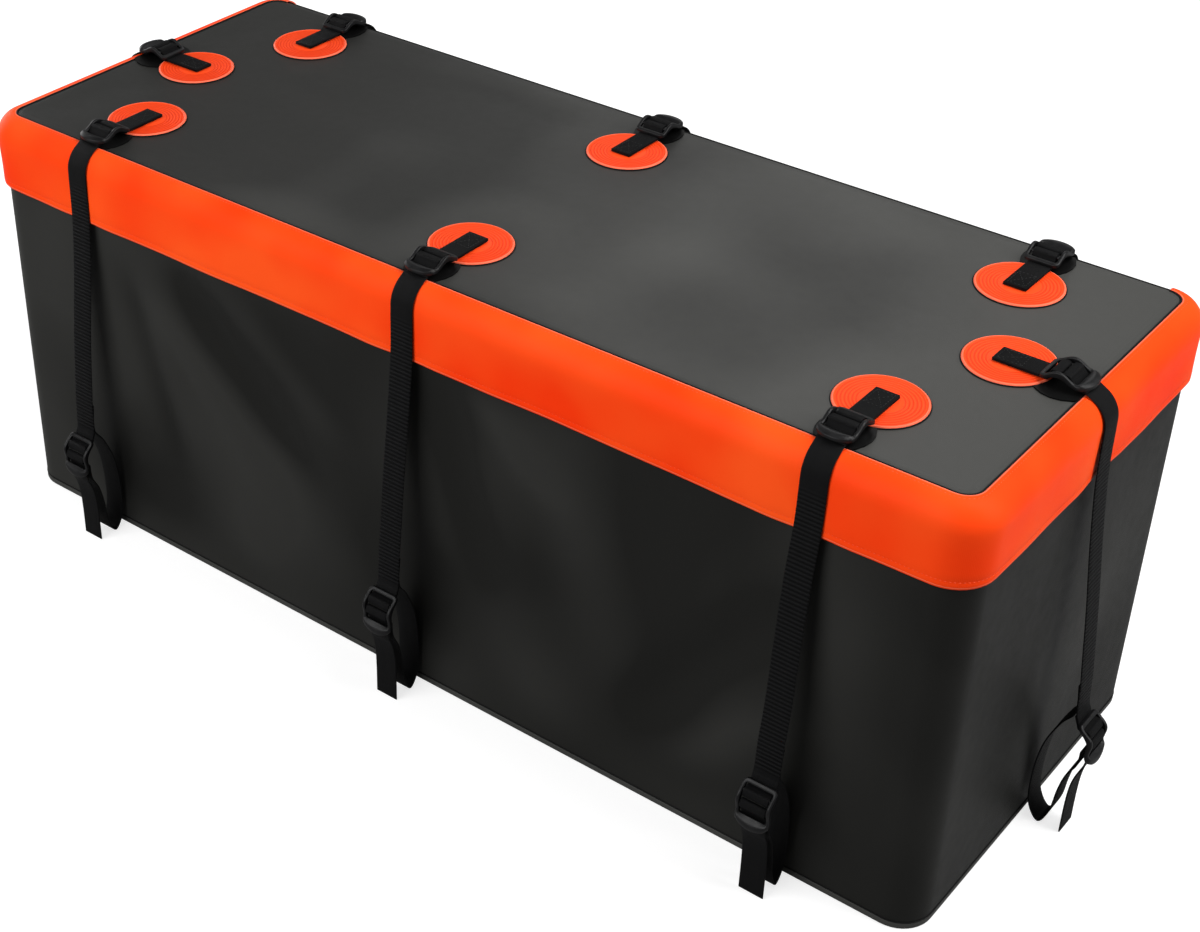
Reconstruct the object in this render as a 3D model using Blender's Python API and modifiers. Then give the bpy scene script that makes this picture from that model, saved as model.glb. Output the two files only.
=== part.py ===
"""Rear cargo bag for a hitch carrier: a coated-fabric tub with a zipped lid, a storm flap,
and eight webbing straps with ladder-lock buckles.

Metres, +Z up. X runs along the bag, the long front side faces -Y, and the floor is z = 0.
Every strap set is drawn in its own frame at a wall: x outward from the wall, y up, z across.
"""
import math

import bmesh
import bpy
from mathutils import Matrix, Vector

# Bag
LENGTH = 1.500
WIDTH = 0.572
HEIGHT = 0.600
CORNER_RADIUS = 0.043
TOP_RADIUS = 0.030
BOTTOM_RADIUS = 0.015
FABRIC = 0.0020
CLEAR = 0.0003
CORNER_STEPS = 6
TOP_STEPS = 3
BOTTOM_STEPS = 3

# Zip, under the storm flap on the front and both ends
ZIP_DROP = 0.055
ZIP_OPENING = 0.014
TAPE_HEIGHT = 0.030
TAPE_THICKNESS = 0.0010
COIL_NECK_HALF = 0.0016
COIL_NECK_DEPTH = 0.0015
COIL_HEAD_HALF = 0.0030
COIL_HEAD_DEPTH = 0.0025
SLIDER_LENGTH = 0.014
SLIDER_WALL = 0.0013
SLIDER_PLATE = 0.0015
SLIDER_LIP = 0.0009
SLIDER_GAP = 0.003
LUG_WIDTH = 0.0026
LUG_HEIGHT = 0.0030
LUG_NECK = 0.0018
LUG_HEAD = 0.0007
LUG_FLANGE = 0.0012
PULL_LENGTH = 0.026
PULL_WIDTH = 0.0085
PULL_THICKNESS = 0.0012
PULL_RIM = 0.0020

# Storm flap and rear hinge strip
FLAP_FABRIC = 0.0018
FLAP_STANDOFF = 0.0065
FLAP_HEIGHT = 0.100
SEAM_INSET = 0.020
FLAP_SHOULDER = 0.034
FLAP_STEPS = 7
HINGE_HEIGHT = 0.040
HINGE_THICKNESS = 0.0015

# Round patches and chafe pads on the lid
DISC_RADIUS = 0.0535
DISC_THICKNESS = 0.0020
DISC_RIM = 0.0035
DISC_RIM_RISE = 0.0007
DISC_STEPS = 24
SIDE_DISC_INSET = 0.122
END_DISC_INSET = 0.1155
PAD_THICKNESS = 0.0015
PAD_HALF_LENGTH = 0.038
PAD_CENTRE_INSET = 0.047
SIDE_PAD_HALF_WIDTH = 0.032
END_PAD_HALF_WIDTH = 0.042
PAD_STEPS = 20
PAD_GAP = 0.0008

# Webbing
WEB_THICKNESS = 0.0018
STRAP_WIDTH = 0.034
ANCHOR_WIDTH = 0.030
ANCHOR_PAST_CENTRE = 0.015
COLUMN_END_INSET = 0.185

# Ladder-lock buckle, from its straight end (u = 0) to its lip
BUCKLE_LENGTH = 0.060
BUCKLE_WIDTH = 0.045
BUCKLE_EDGE = 0.0040
BUCKLE_ARCH = 0.0090
BUCKLE_UNDERCUT = 0.0066
ARCH_LENGTH = 0.046
LIP_FLARE = 0.0008
END_BAR = 0.0055
LIP_START = 0.044
CORNER_CUT = 0.006
RAIL = 0.0045
BAR_RADIUS = 0.0018
BAR_HALF = 0.0022
BAR_HEIGHT = 0.0072
FIXED_BAR_AT = 0.0160
GRIP_BAR_AT = 0.0297
BAR_ROOT = 0.0010
TOP_BUCKLE_INSET = 0.0725
ARCH_STEPS = 8
LIP_STEPS = 8
LIP_BULGE = 0.62

# Hanging strap and the lower buckle
STRAP_SHOULDER_OUT = 0.0020
STRAP_SHOULDER_LIFT = 0.0018
SHOULDER_TURNS = (66, 49, 32, 15)
LOW_BUCKLE_OUT = 0.050
LOW_BUCKLE_TOP = 0.172
LOW_BUCKLE_TILT = math.radians(20.0)
SEWN_LENGTH = 0.034
FOLD_BACK = 0.010
FLOOR_GAP = 0.0006
LOOP_BELOW_BUCKLE = 0.0060
TAIL_LEAD = 0.008

# How loose webbing hangs: shares of the way out to the lower buckle, then of the way down or up
HANG_SHAPE = ((0.0, 0.02), (0.04, 0.18), (0.25, 0.38), (0.55, 0.60), (0.82, 0.82))
SEWN_TOP_OUT = 0.90
CROTCH_OUT = 0.97
LOOP_BACK_SHAPE = ((0.57, 0.94), (0.26, 0.71), (0.13, 0.436), (0.16, 0.15))
LOOP_FLOOR_OUT = 0.47
LOOP_FRONT_SHAPE = ((0.71, 0.15), (0.80, 0.35), (0.92, 0.51))
TAIL_SHAPE = ((1.27, 0.628), (1.16, 0.547), (1.08, 0.430), (1.05, 0.262))

# Values that follow from the ones above
COLUMN_PITCH = LENGTH / 2 - COLUMN_END_INSET
WEB_STEP = WEB_THICKNESS + CLEAR
HUG = WEB_THICKNESS / 2 + CLEAR
WRAP_RADIUS = BAR_RADIUS + HUG
ZIP_LEVEL = HEIGHT - ZIP_DROP
LID_RIM = ZIP_LEVEL + ZIP_OPENING / 2
TUB_RIM = ZIP_LEVEL - ZIP_OPENING / 2
TAPE_FACE = -(FABRIC + CLEAR)
DISC_TOP = HEIGHT + CLEAR + DISC_THICKNESS + DISC_RIM_RISE
LOWER_LAYER = DISC_TOP + HUG
BUCKLE_SEAT = LOWER_LAYER + WEB_STEP + HUG
SLIDER_FACE = TAPE_FACE + COIL_NECK_DEPTH + COIL_HEAD_DEPTH + CLEAR + SLIDER_PLATE

bag = bpy.data.collections.new("rear_cargo_bag")
cutters = bpy.data.collections.new("cutters")


def clear_scene():
    """Start from an empty scene."""
    for old in list(bpy.data.objects):
        bpy.data.objects.remove(old, do_unlink=True)


def material(name, colour, roughness, metallic=0.0):
    """One Principled material of a single colour."""
    made = bpy.data.materials.new(name)
    made.use_nodes = True
    shader = made.node_tree.nodes["Principled BSDF"]
    shader.inputs["Base Color"].default_value = (*colour, 1.0)
    shader.inputs["Roughness"].default_value = roughness
    shader.inputs["Metallic"].default_value = metallic
    made.diffuse_color = (*colour, 1.0)
    return made


def add_piece(name, mesh, look, matrix=Matrix.Identity(4)):
    """Put one named sub-part, in its own material, into the bag's collection."""
    piece = bpy.data.objects.new(name, mesh)
    piece.matrix_world = matrix
    bag.objects.link(piece)
    if not mesh.materials:
        mesh.materials.append(None)
    piece.material_slots[0].link = "OBJECT"
    piece.material_slots[0].material = look
    return piece


def mesh_of(curve_object):
    """Turn a curve object into a welded mesh and remove the curve."""
    bpy.context.scene.collection.objects.link(curve_object)
    bpy.context.view_layer.update()
    seen = curve_object.evaluated_get(bpy.context.evaluated_depsgraph_get())
    mesh = bpy.data.meshes.new_from_object(seen)
    work = bmesh.new()
    work.from_mesh(mesh)
    bmesh.ops.remove_doubles(work, verts=work.verts, dist=0.00001)
    bmesh.ops.recalc_face_normals(work, faces=work.faces)
    work.to_mesh(mesh)
    work.free()
    bpy.data.objects.remove(curve_object, do_unlink=True)
    return mesh


def flat_curve(name, points, closed=True):
    """A 2D poly curve through the points."""
    curve = bpy.data.curves.new(name, "CURVE")
    curve.dimensions = "2D"
    spline = curve.splines.new("POLY")
    spline.points.add(len(points) - 1)
    for spot, (x, y) in zip(spline.points, points):
        spot.co = (x, y, 0.0, 1.0)
    spline.use_cyclic_u = closed
    return curve


def outline_mesh(name, points, width):
    """A flat outline, as thick as width, centred on its own plane."""
    curve = flat_curve(name, points)
    curve.fill_mode = "BOTH"
    curve.extrude = width / 2
    return mesh_of(bpy.data.objects.new(name, curve))


def swept_mesh(name, path, section):
    """A closed section carried along an open plan path; x of the section points outward."""
    profile = bpy.data.objects.new(name + "_section", flat_curve(name + "_section", section))
    curve = flat_curve(name, path, closed=False)
    curve.bevel_mode = "OBJECT"
    curve.bevel_object = profile
    curve.use_fill_caps = True
    mesh = mesh_of(bpy.data.objects.new(name, curve))
    bpy.data.objects.remove(profile, do_unlink=True)
    return mesh


def boolean(piece, cutter, operation):
    """Join, cut or intersect a piece with a cutter that stays hidden."""
    cutter.hide_render = True
    cutter.display_type = "WIRE"
    cutters.objects.link(cutter)
    step = piece.modifiers.new(operation.lower() + "_" + cutter.name, "BOOLEAN")
    step.operation = operation
    step.solver = "EXACT"
    step.object = cutter


def primitive_mesh(name, build, matrix=Matrix.Identity(4)):
    """A mesh from one of Blender's own primitives."""
    work = bmesh.new()
    build(work)
    work.transform(matrix)
    mesh = bpy.data.meshes.new(name)
    work.to_mesh(mesh)
    work.free()
    return mesh


def block_mesh(name, low, high):
    """A box between two corners."""
    low = Vector(low)
    high = Vector(high)
    place = Matrix.Translation((low + high) / 2) @ Matrix.Diagonal((*(high - low), 1.0))
    return primitive_mesh(name, lambda work: bmesh.ops.create_cube(work, size=1.0), place)


def arc(centre, radius, start, end, steps):
    """Points on an arc, angles in degrees."""
    turns = [math.radians(start + (end - start) * k / steps) for k in range(steps + 1)]
    return [(centre[0] + radius * math.cos(a), centre[1] + radius * math.sin(a)) for a in turns]


def smooth(points, steps):
    """A Catmull-Rom curve through the points."""
    ends = [points[0]] + list(points) + [points[-1]]
    line = []
    for a, b, c, d in zip(ends, ends[1:], ends[2:], ends[3:]):
        for k in range(steps):
            t = k / steps
            line.append(tuple(
                0.5 * (2 * b[i] + (c[i] - a[i]) * t + (2 * a[i] - 5 * b[i] + 4 * c[i] - d[i]) * t * t
                       + (3 * b[i] - a[i] - 3 * c[i] + d[i]) * t * t * t) for i in (0, 1)))
    return line + [tuple(points[-1])]


def beside(line, distance):
    """The line moved sideways, to the left of its travel for a positive distance."""
    moved = []
    for k, here in enumerate(line):
        before = Vector(line[max(k - 1, 0)])
        after = Vector(line[min(k + 1, len(line) - 1)])
        here = Vector(here)
        into = (here - before).normalized() if k else (after - here).normalized()
        out = (after - here).normalized() if k < len(line) - 1 else into
        tangent = (into + out).normalized()
        reach = distance / max(tangent.dot(into), 0.5)
        moved.append((here.x - tangent.y * reach, here.y + tangent.x * reach))
    return moved


def ribbon(line):
    """The outline of webbing that follows a centre line."""
    return beside(line, WEB_THICKNESS / 2) + beside(line, -WEB_THICKNESS / 2)[::-1]


def plan_corner(side_x, side_y, start):
    """One rounded corner of the walls seen from above, a quarter turn from its start angle."""
    centre = (side_x * (LENGTH / 2 - CORNER_RADIUS), side_y * (WIDTH / 2 - CORNER_RADIUS))
    return arc(centre, CORNER_RADIUS, start, start + 90, CORNER_STEPS)


def shell(name, low, high, open_top, edge_radius, edge_steps, look):
    """Walls and one closed face with rounded corners: a cube, bevelled, opened and solidified."""
    work = bmesh.new()
    bmesh.ops.create_cube(work, size=1.0)
    size = Matrix.Diagonal((LENGTH, WIDTH, high - low, 1.0))
    work.transform(Matrix.Translation((0, 0, (low + high) / 2)) @ size)
    upright = [e for e in work.edges if abs(e.verts[0].co.z - e.verts[1].co.z) > FABRIC]
    bmesh.ops.bevel(work, geom=upright, offset=CORNER_RADIUS, segments=CORNER_STEPS,
                    profile=0.5, affect="EDGES")
    shut = low if open_top else high
    rim = [e for e in work.edges if all(abs(v.co.z - shut) < CLEAR for v in e.verts)]
    bmesh.ops.bevel(work, geom=rim, offset=edge_radius, segments=edge_steps,
                    profile=0.5, affect="EDGES")
    mouth = high if open_top else low
    cap = [f for f in work.faces if all(abs(v.co.z - mouth) < CLEAR for v in f.verts)]
    bmesh.ops.delete(work, geom=cap, context="FACES")
    mesh = bpy.data.meshes.new(name)
    work.to_mesh(mesh)
    work.free()
    piece = add_piece(name, mesh, look)
    wall = piece.modifiers.new("wall", "SOLIDIFY")
    wall.thickness = FABRIC
    wall.offset = -1.0
    wall.use_even_offset = True
    return piece


def flap_section():
    """The storm flap from its seam on the lid, over the shoulder, to its free hem."""
    seam = (-SEAM_INSET, HEIGHT - FLAP_SHOULDER)
    lid_drop = TOP_RADIUS - math.sqrt(TOP_RADIUS ** 2 - (TOP_RADIUS - SEAM_INSET) ** 2)
    rise = FLAP_SHOULDER - lid_drop + CLEAR
    reach = SEAM_INSET + FLAP_STANDOFF
    turns = [math.pi / 2 * (1 - k / FLAP_STEPS) for k in range(FLAP_STEPS + 1)]

    def shoulder(extra):
        return [(seam[0] + (reach + extra) * math.cos(a), seam[1] + (rise + extra) * math.sin(a))
                for a in turns]
    hem = HEIGHT - FLAP_HEIGHT
    outer = shoulder(FLAP_FABRIC) + [(FLAP_STANDOFF + FLAP_FABRIC, hem)]
    inner = [(FLAP_STANDOFF, hem)] + shoulder(0.0)[::-1]
    return outer + inner


def chain_section():
    """The closed zip: its tape behind the walls and the coil standing in the opening."""
    back = TAPE_FACE - TAPE_THICKNESS
    neck = TAPE_FACE + COIL_NECK_DEPTH
    head = neck + COIL_HEAD_DEPTH
    half = [(back, TAPE_HEIGHT / 2), (TAPE_FACE, TAPE_HEIGHT / 2), (TAPE_FACE, COIL_NECK_HALF),
            (neck, COIL_NECK_HALF), (neck, COIL_HEAD_HALF), (head, COIL_HEAD_HALF)]
    lower = [(x, -z) for x, z in half[::-1]]
    return [(x, ZIP_LEVEL + z) for x, z in half + lower]


def slider_section():
    """A channel that hooks behind the coil's head on both sides."""
    neck = TAPE_FACE + COIL_NECK_DEPTH
    head = neck + COIL_HEAD_DEPTH
    inside = COIL_HEAD_HALF + CLEAR
    outside = inside + SLIDER_WALL
    grip = neck - CLEAR
    face = head + CLEAR + SLIDER_PLATE
    half = [(face, outside), (grip - SLIDER_LIP, outside), (grip - SLIDER_LIP, COIL_NECK_HALF + CLEAR),
            (grip, COIL_NECK_HALF + CLEAR), (grip, inside), (head + CLEAR, inside)]
    return half + [(x, -z) for x, z in half[::-1]]


def wall_frame(x, y, outward_angle):
    """Frame of a strap set: x outward from the wall at floor level, y up, z across."""
    outward = Vector((math.cos(outward_angle), math.sin(outward_angle), 0.0))
    up = Vector((0.0, 0.0, 1.0))
    across = outward.cross(up)
    frame = Matrix((outward, up, across)).transposed().to_4x4()
    frame.translation = (x, y, 0.0)
    return frame


def make_zip(looks):
    """The zip chain round three sides, with two sliders and their pulls at the front centre."""
    run = (plan_corner(-1, 1, 90)[-1:] + plan_corner(-1, -1, 180) + plan_corner(1, -1, 270)
           + plan_corner(1, 1, 0)[:1])
    add_piece("zip_chain", swept_mesh("zip_chain", run, chain_section()), looks["zip"])
    channel = outline_mesh("slider", slider_section(), SLIDER_LENGTH)
    neck_end = SLIDER_FACE + LUG_NECK
    for side, sign in (("left", -1), ("right", 1)):
        middle = sign * (SLIDER_LENGTH + SLIDER_GAP) / 2
        place = wall_frame(middle, -WIDTH / 2, -math.pi / 2) @ Matrix.Translation((0, ZIP_LEVEL, 0))
        slider = add_piece("zip_slider_" + side, channel.copy(), looks["metal"], place)
        neck = block_mesh("lug_neck", (SLIDER_FACE - SLIDER_PLATE / 2, -LUG_HEIGHT / 2, -LUG_WIDTH / 2),
                          (neck_end, LUG_HEIGHT / 2, LUG_WIDTH / 2))
        flange = (LUG_HEIGHT / 2 + LUG_FLANGE, LUG_WIDTH / 2 + LUG_FLANGE)
        head = block_mesh("lug_head", (neck_end - CLEAR / 2, -flange[0], -flange[1]),
                          (neck_end + LUG_HEAD, flange[0], flange[1]))
        for part in (neck, head):
            cutter = bpy.data.objects.new(part.name + "_" + side, part)
            cutter.matrix_world = place
            boolean(slider, cutter, "UNION")
        back = SLIDER_FACE + CLEAR
        top = LUG_HEIGHT / 2 + CLEAR + PULL_RIM
        tab = block_mesh("pull", (back, top - PULL_LENGTH, -PULL_WIDTH / 2),
                         (back + PULL_THICKNESS, top, PULL_WIDTH / 2))
        pull = add_piece("zip_pull_" + side, tab, looks["metal"], place)
        window = bpy.data.objects.new("pull_window_" + side, block_mesh(
            "window", (back - FABRIC, -LUG_HEIGHT / 2 - PULL_RIM, -LUG_WIDTH / 2 - CLEAR),
            (back + PULL_THICKNESS + FABRIC, LUG_HEIGHT / 2 + CLEAR, LUG_WIDTH / 2 + CLEAR)))
        window.matrix_world = place
        boolean(pull, window, "DIFFERENCE")


def bump(u):
    """Rise of the buckle's arch, 0 to 1, flat at both ends."""
    return 0.5 - 0.5 * math.cos(2 * math.pi * min(u / ARCH_LENGTH, 1.0))


def buckle_mesh():
    """The one-piece ladder lock: an arched plate with a round lip, a window and two flat bars."""
    stations = [ARCH_LENGTH * k / ARCH_STEPS for k in range(ARCH_STEPS + 1)] + [BUCKLE_LENGTH]
    flare = [0.0] * (ARCH_STEPS + 1) + [LIP_FLARE]
    top = [(u, BUCKLE_EDGE + BUCKLE_ARCH * bump(u) + f) for u, f in zip(stations, flare)]
    under = [(u, BUCKLE_UNDERCUT * bump(u) + f) for u, f in zip(stations, flare)]
    plate = outline_mesh("ladder_lock", top + under[::-1], BUCKLE_WIDTH)
    half = BUCKLE_WIDTH / 2
    lip = [(BUCKLE_LENGTH - half * LIP_BULGE * (1 - math.sin(a)), half * math.cos(a))
           for a in [math.pi * k / LIP_STEPS for k in range(LIP_STEPS + 1)]]
    shoulder = arc((CORNER_CUT, half - CORNER_CUT), CORNER_CUT, 90, 180, 2)
    edge = lip[::-1] + shoulder + [(u, -v) for u, v in shoulder[::-1]]
    form = bpy.data.objects.new("ladder_lock_form", plate)
    bpy.context.scene.collection.objects.link(form)
    up = Matrix.Rotation(-math.pi / 2, 4, "X")
    outline = bpy.data.objects.new("buckle_outline", outline_mesh("outline", edge, 4 * BUCKLE_ARCH))
    outline.matrix_world = up
    boolean(form, outline, "INTERSECT")
    opening = bpy.data.objects.new("buckle_window", block_mesh(
        "opening", (END_BAR, -2 * BUCKLE_ARCH, RAIL - half), (LIP_START, 2 * BUCKLE_ARCH, half - RAIL)))
    boolean(form, opening, "DIFFERENCE")
    for at in (FIXED_BAR_AT, GRIP_BAR_AT):
        rounds = (arc((at - BAR_HALF, BAR_HEIGHT), BAR_RADIUS, 90, 270, 2)
                  + arc((at + BAR_HALF, BAR_HEIGHT), BAR_RADIUS, -90, 90, 2))
        bar = bpy.data.objects.new("bar", outline_mesh("bar", rounds, 2 * (half - RAIL + BAR_ROOT)))
        boolean(form, bar, "UNION")
    bpy.context.view_layer.update()
    mesh = bpy.data.meshes.new_from_object(form.evaluated_get(bpy.context.evaluated_depsgraph_get()))
    mesh.name = "ladder_lock"
    for used in list(cutters.objects) + [form]:
        if used is form or used.name.startswith(("buckle_", "bar")):
            bpy.data.objects.remove(used, do_unlink=True)
    return mesh


def fixed_bar_wrap(reach_in, reach_back):
    """Webbing round the fixed bar, in buckle coordinates (u along the buckle, n off its base).

    It comes in under the straight end from reach_in, goes over the bar and back to reach_back.
    """
    corner = arc((END_BAR, 0.0), HUG, -90, -45, 1)
    near = arc((FIXED_BAR_AT - BAR_HALF, BAR_HEIGHT), WRAP_RADIUS, 180, 90, 2)
    far = arc((FIXED_BAR_AT + BAR_HALF, BAR_HEIGHT), WRAP_RADIUS, 90, -90, 4)
    below = -HUG - WEB_STEP
    back = [(FIXED_BAR_AT - BAR_HALF, BAR_HEIGHT - WRAP_RADIUS), (END_BAR + 2 * CLEAR + HUG, below)]
    return [(reach_in, -HUG)] + corner + near + far + back + [(reach_back, below)]


def grip_bar_wrap(tail_end):
    """Webbing round the grip bar, from under it to a tail below the lip."""
    near = arc((GRIP_BAR_AT - BAR_HALF, BAR_HEIGHT), WRAP_RADIUS, 270, 90, 4)
    far = arc((GRIP_BAR_AT + BAR_HALF, BAR_HEIGHT), WRAP_RADIUS, 90, 0, 2)
    corner = arc((LIP_START, 0.0), HUG, 225, 270, 1)
    start = [(GRIP_BAR_AT + BAR_HALF, BAR_HEIGHT - WRAP_RADIUS)]
    return start + near + far + corner + ([(tail_end, -HUG)] if tail_end else [])


def on_lid(points):
    """Buckle coordinates of the top buckle, placed in the strap set's frame."""
    return [(u - TOP_BUCKLE_INSET, BUCKLE_SEAT + n) for u, n in points]


def low_buckle_point(u, n):
    """One point of the lower buckle, which hangs tilted with its lip away from the wall."""
    along = (math.sin(LOW_BUCKLE_TILT), -math.cos(LOW_BUCKLE_TILT))
    off = (math.cos(LOW_BUCKLE_TILT), math.sin(LOW_BUCKLE_TILT))
    return (LOW_BUCKLE_OUT + along[0] * u + off[0] * n, LOW_BUCKLE_TOP + along[1] * u + off[1] * n)


def on_low_buckle(points):
    """Buckle coordinates of the lower buckle, placed in the strap set's frame."""
    return [low_buckle_point(u, n) for u, n in points]


def loose(shape):
    """Points of loose webbing, from shares of the lower buckle's stand-off and height."""
    return [(out * LOW_BUCKLE_OUT, up * LOW_BUCKLE_TOP) for out, up in shape]


def strap_outline():
    """One strap: threaded in the top buckle, down the wall, sewn to its lower loop and buckle."""
    threaded = on_lid(grip_bar_wrap(BUCKLE_LENGTH - 2 * WEB_THICKNESS))[::-1]
    under_lip = on_lid([(LIP_START - WEB_THICKNESS, -HUG - WEB_STEP),
                        (LIP_START + FOLD_BACK, -HUG - WEB_STEP)])
    shoulder_low = HEIGHT - FLAP_SHOULDER
    flap_out = SEAM_INSET + FLAP_STANDOFF + FLAP_FABRIC
    turns = [math.radians(a) for a in SHOULDER_TURNS]
    shoulder = [(-SEAM_INSET + (flap_out + STRAP_SHOULDER_OUT) * math.cos(a),
                 shoulder_low + (FLAP_SHOULDER + STRAP_SHOULDER_LIFT) * math.sin(a)) for a in turns]
    hip = flap_out - SEAM_INSET + STRAP_SHOULDER_OUT
    rim_point = low_buckle_point(-FOLD_BACK, -HUG)
    out = rim_point[0] - hip
    down = shoulder_low - rim_point[1]
    hang = [(hip + far * out, shoulder_low - low * down) for far, low in HANG_SHAPE]
    sewn_top = (hip + SEWN_TOP_OUT * out, rim_point[1] + SEWN_LENGTH + FOLD_BACK)
    crotch = (hip + CROTCH_OUT * out, rim_point[1] + FOLD_BACK / 2)
    drop = threaded + under_lip + shoulder + hang + [sewn_top, crotch]
    sewn = (len(drop) - 2, len(drop) - 1)
    drop += on_low_buckle(fixed_bar_wrap(-FOLD_BACK / 2, -FOLD_BACK))
    shared = beside(drop, -WEB_THICKNESS)
    floor = FLOOR_GAP + WEB_THICKNESS / 2
    knee = low_buckle_point(BUCKLE_LENGTH, -BUCKLE_LENGTH / 4)
    back = [shared[sewn[1]]] + loose(LOOP_BACK_SHAPE)
    front = [(LOOP_FLOOR_OUT * LOW_BUCKLE_OUT, floor)] + loose(LOOP_FRONT_SHAPE) + [knee]
    loop = [shared[sewn[0]]] + smooth(back + front, 2)
    loop += on_low_buckle([(LIP_START - 2 * BAR_RADIUS, -LOOP_BELOW_BUCKLE)])
    loop += on_low_buckle(grip_bar_wrap(0.0))
    tail = loose(TAIL_SHAPE)
    loop += [low_buckle_point(LIP_START + TAIL_LEAD, -HUG)] + tail + [(tail[-1][0], FLOOR_GAP)]
    outer = beside(drop, WEB_THICKNESS / 2)
    inner = beside(drop, -WEB_THICKNESS / 2)
    loop_outer = beside(loop, WEB_THICKNESS / 2)
    loop_inner = beside(loop, -WEB_THICKNESS / 2)
    return (outer + inner[:sewn[1] - 1:-1] + loop_outer[2:] + loop_inner[::-1] + inner[sewn[0]::-1])


def anchor_outline(disc_inset):
    """Folded webbing from the middle of a round patch to the top buckle's fixed bar."""
    tip = TOP_BUCKLE_INSET - disc_inset - ANCHOR_PAST_CENTRE
    return ribbon(on_lid(fixed_bar_wrap(tip, tip)))


def make_disc(name, inset, frame, look):
    """A round patch with a raised rim, turned from its profile."""
    face = DISC_THICKNESS
    profile = [(0.0, face), (DISC_RADIUS - 2 * DISC_RIM, face),
               (DISC_RADIUS - DISC_RIM, face + DISC_RIM_RISE), (DISC_RADIUS, face), (DISC_RADIUS, 0.0),
               (0.0, 0.0)]
    mesh = bpy.data.meshes.new(name)
    lines = [(k, k + 1) for k in range(len(profile) - 1)]
    mesh.from_pydata([(x, 0.0, z) for x, z in profile], lines, [])
    centre = frame @ Vector((-inset, HEIGHT + CLEAR, 0.0))
    piece = add_piece(name, mesh, look, Matrix.Translation(centre))
    turn = piece.modifiers.new("turn", "SCREW")
    turn.steps = DISC_STEPS
    turn.render_steps = DISC_STEPS
    turn.use_merge_vertices = True
    turn.merge_threshold = 0.00001


def make_pad(name, inset, half_width, frame, look):
    """A flat oval pad under the buckle, cut round the patch and along the flap's seam."""
    def oval(work):
        bmesh.ops.create_cone(work, cap_ends=True, segments=PAD_STEPS, radius1=1.0, radius2=1.0, depth=1.0)
    level = HEIGHT + CLEAR + PAD_THICKNESS / 2
    size = Matrix.Diagonal((PAD_HALF_LENGTH, half_width, PAD_THICKNESS, 1.0))
    flat = Matrix.Rotation(-math.pi / 2, 4, "X")
    place = frame @ Matrix.Translation((-PAD_CENTRE_INSET, level, 0)) @ flat
    piece = add_piece(name, primitive_mesh(name, oval, size), look, place)

    def round_cut(work):
        radius = DISC_RADIUS + PAD_GAP
        bmesh.ops.create_cone(work, cap_ends=True, segments=DISC_STEPS, radius1=radius, radius2=radius,
                              depth=10 * PAD_THICKNESS)
    cut = bpy.data.objects.new(name + "_patch_cut", primitive_mesh("patch_cut", round_cut))
    cut.matrix_world = frame @ Matrix.Translation((-inset, level, 0)) @ flat
    boolean(piece, cut, "DIFFERENCE")
    seam = bpy.data.objects.new(name + "_seam_cut", block_mesh(
        "seam_cut", (-SEAM_INSET - PAD_GAP, level - 5 * PAD_THICKNESS, -2 * half_width),
        (PAD_HALF_LENGTH, level + 5 * PAD_THICKNESS, 2 * half_width)))
    seam.matrix_world = frame
    boolean(piece, seam, "DIFFERENCE")


def make_straps(looks):
    """Eight strap sets: three along each long side and one at each end."""
    buckle = buckle_mesh()
    strap = outline_mesh("strap", strap_outline(), STRAP_WIDTH)
    anchors = {inset: outline_mesh("anchor", anchor_outline(inset), ANCHOR_WIDTH)
               for inset in (SIDE_DISC_INSET, END_DISC_INSET)}
    sets = []
    for side, sign in (("front", -1), ("rear", 1)):
        for column, step in (("left", -1), ("mid", 0), ("right", 1)):
            frame = wall_frame(step * COLUMN_PITCH, sign * WIDTH / 2, sign * math.pi / 2)
            sets.append((side + "_" + column, frame, SIDE_DISC_INSET, SIDE_PAD_HALF_WIDTH))
    for side, sign, turn in (("left_end", -1, math.pi), ("right_end", 1, 0.0)):
        frame = wall_frame(sign * LENGTH / 2, 0.0, turn)
        sets.append((side, frame, END_DISC_INSET, END_PAD_HALF_WIDTH))
    lid_seat = Matrix.Translation((-TOP_BUCKLE_INSET, BUCKLE_SEAT, 0.0))
    hang_seat = (Matrix.Translation((LOW_BUCKLE_OUT, LOW_BUCKLE_TOP, 0.0))
                 @ Matrix.Rotation(LOW_BUCKLE_TILT - math.pi / 2, 4, "Z"))
    for name, frame, inset, pad_half in sets:
        make_disc("patch_" + name, inset, frame, looks["orange"])
        make_pad("chafe_pad_" + name, inset, pad_half, frame, looks["pad"])
        add_piece("anchor_web_" + name, anchors[inset].copy(), looks["webbing"], frame)
        add_piece("strap_" + name, strap.copy(), looks["webbing"], frame)
        add_piece("top_buckle_" + name, buckle.copy(), looks["plastic"], frame @ lid_seat)
        add_piece("lower_buckle_" + name, buckle.copy(), looks["plastic"], frame @ hang_seat)


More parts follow.
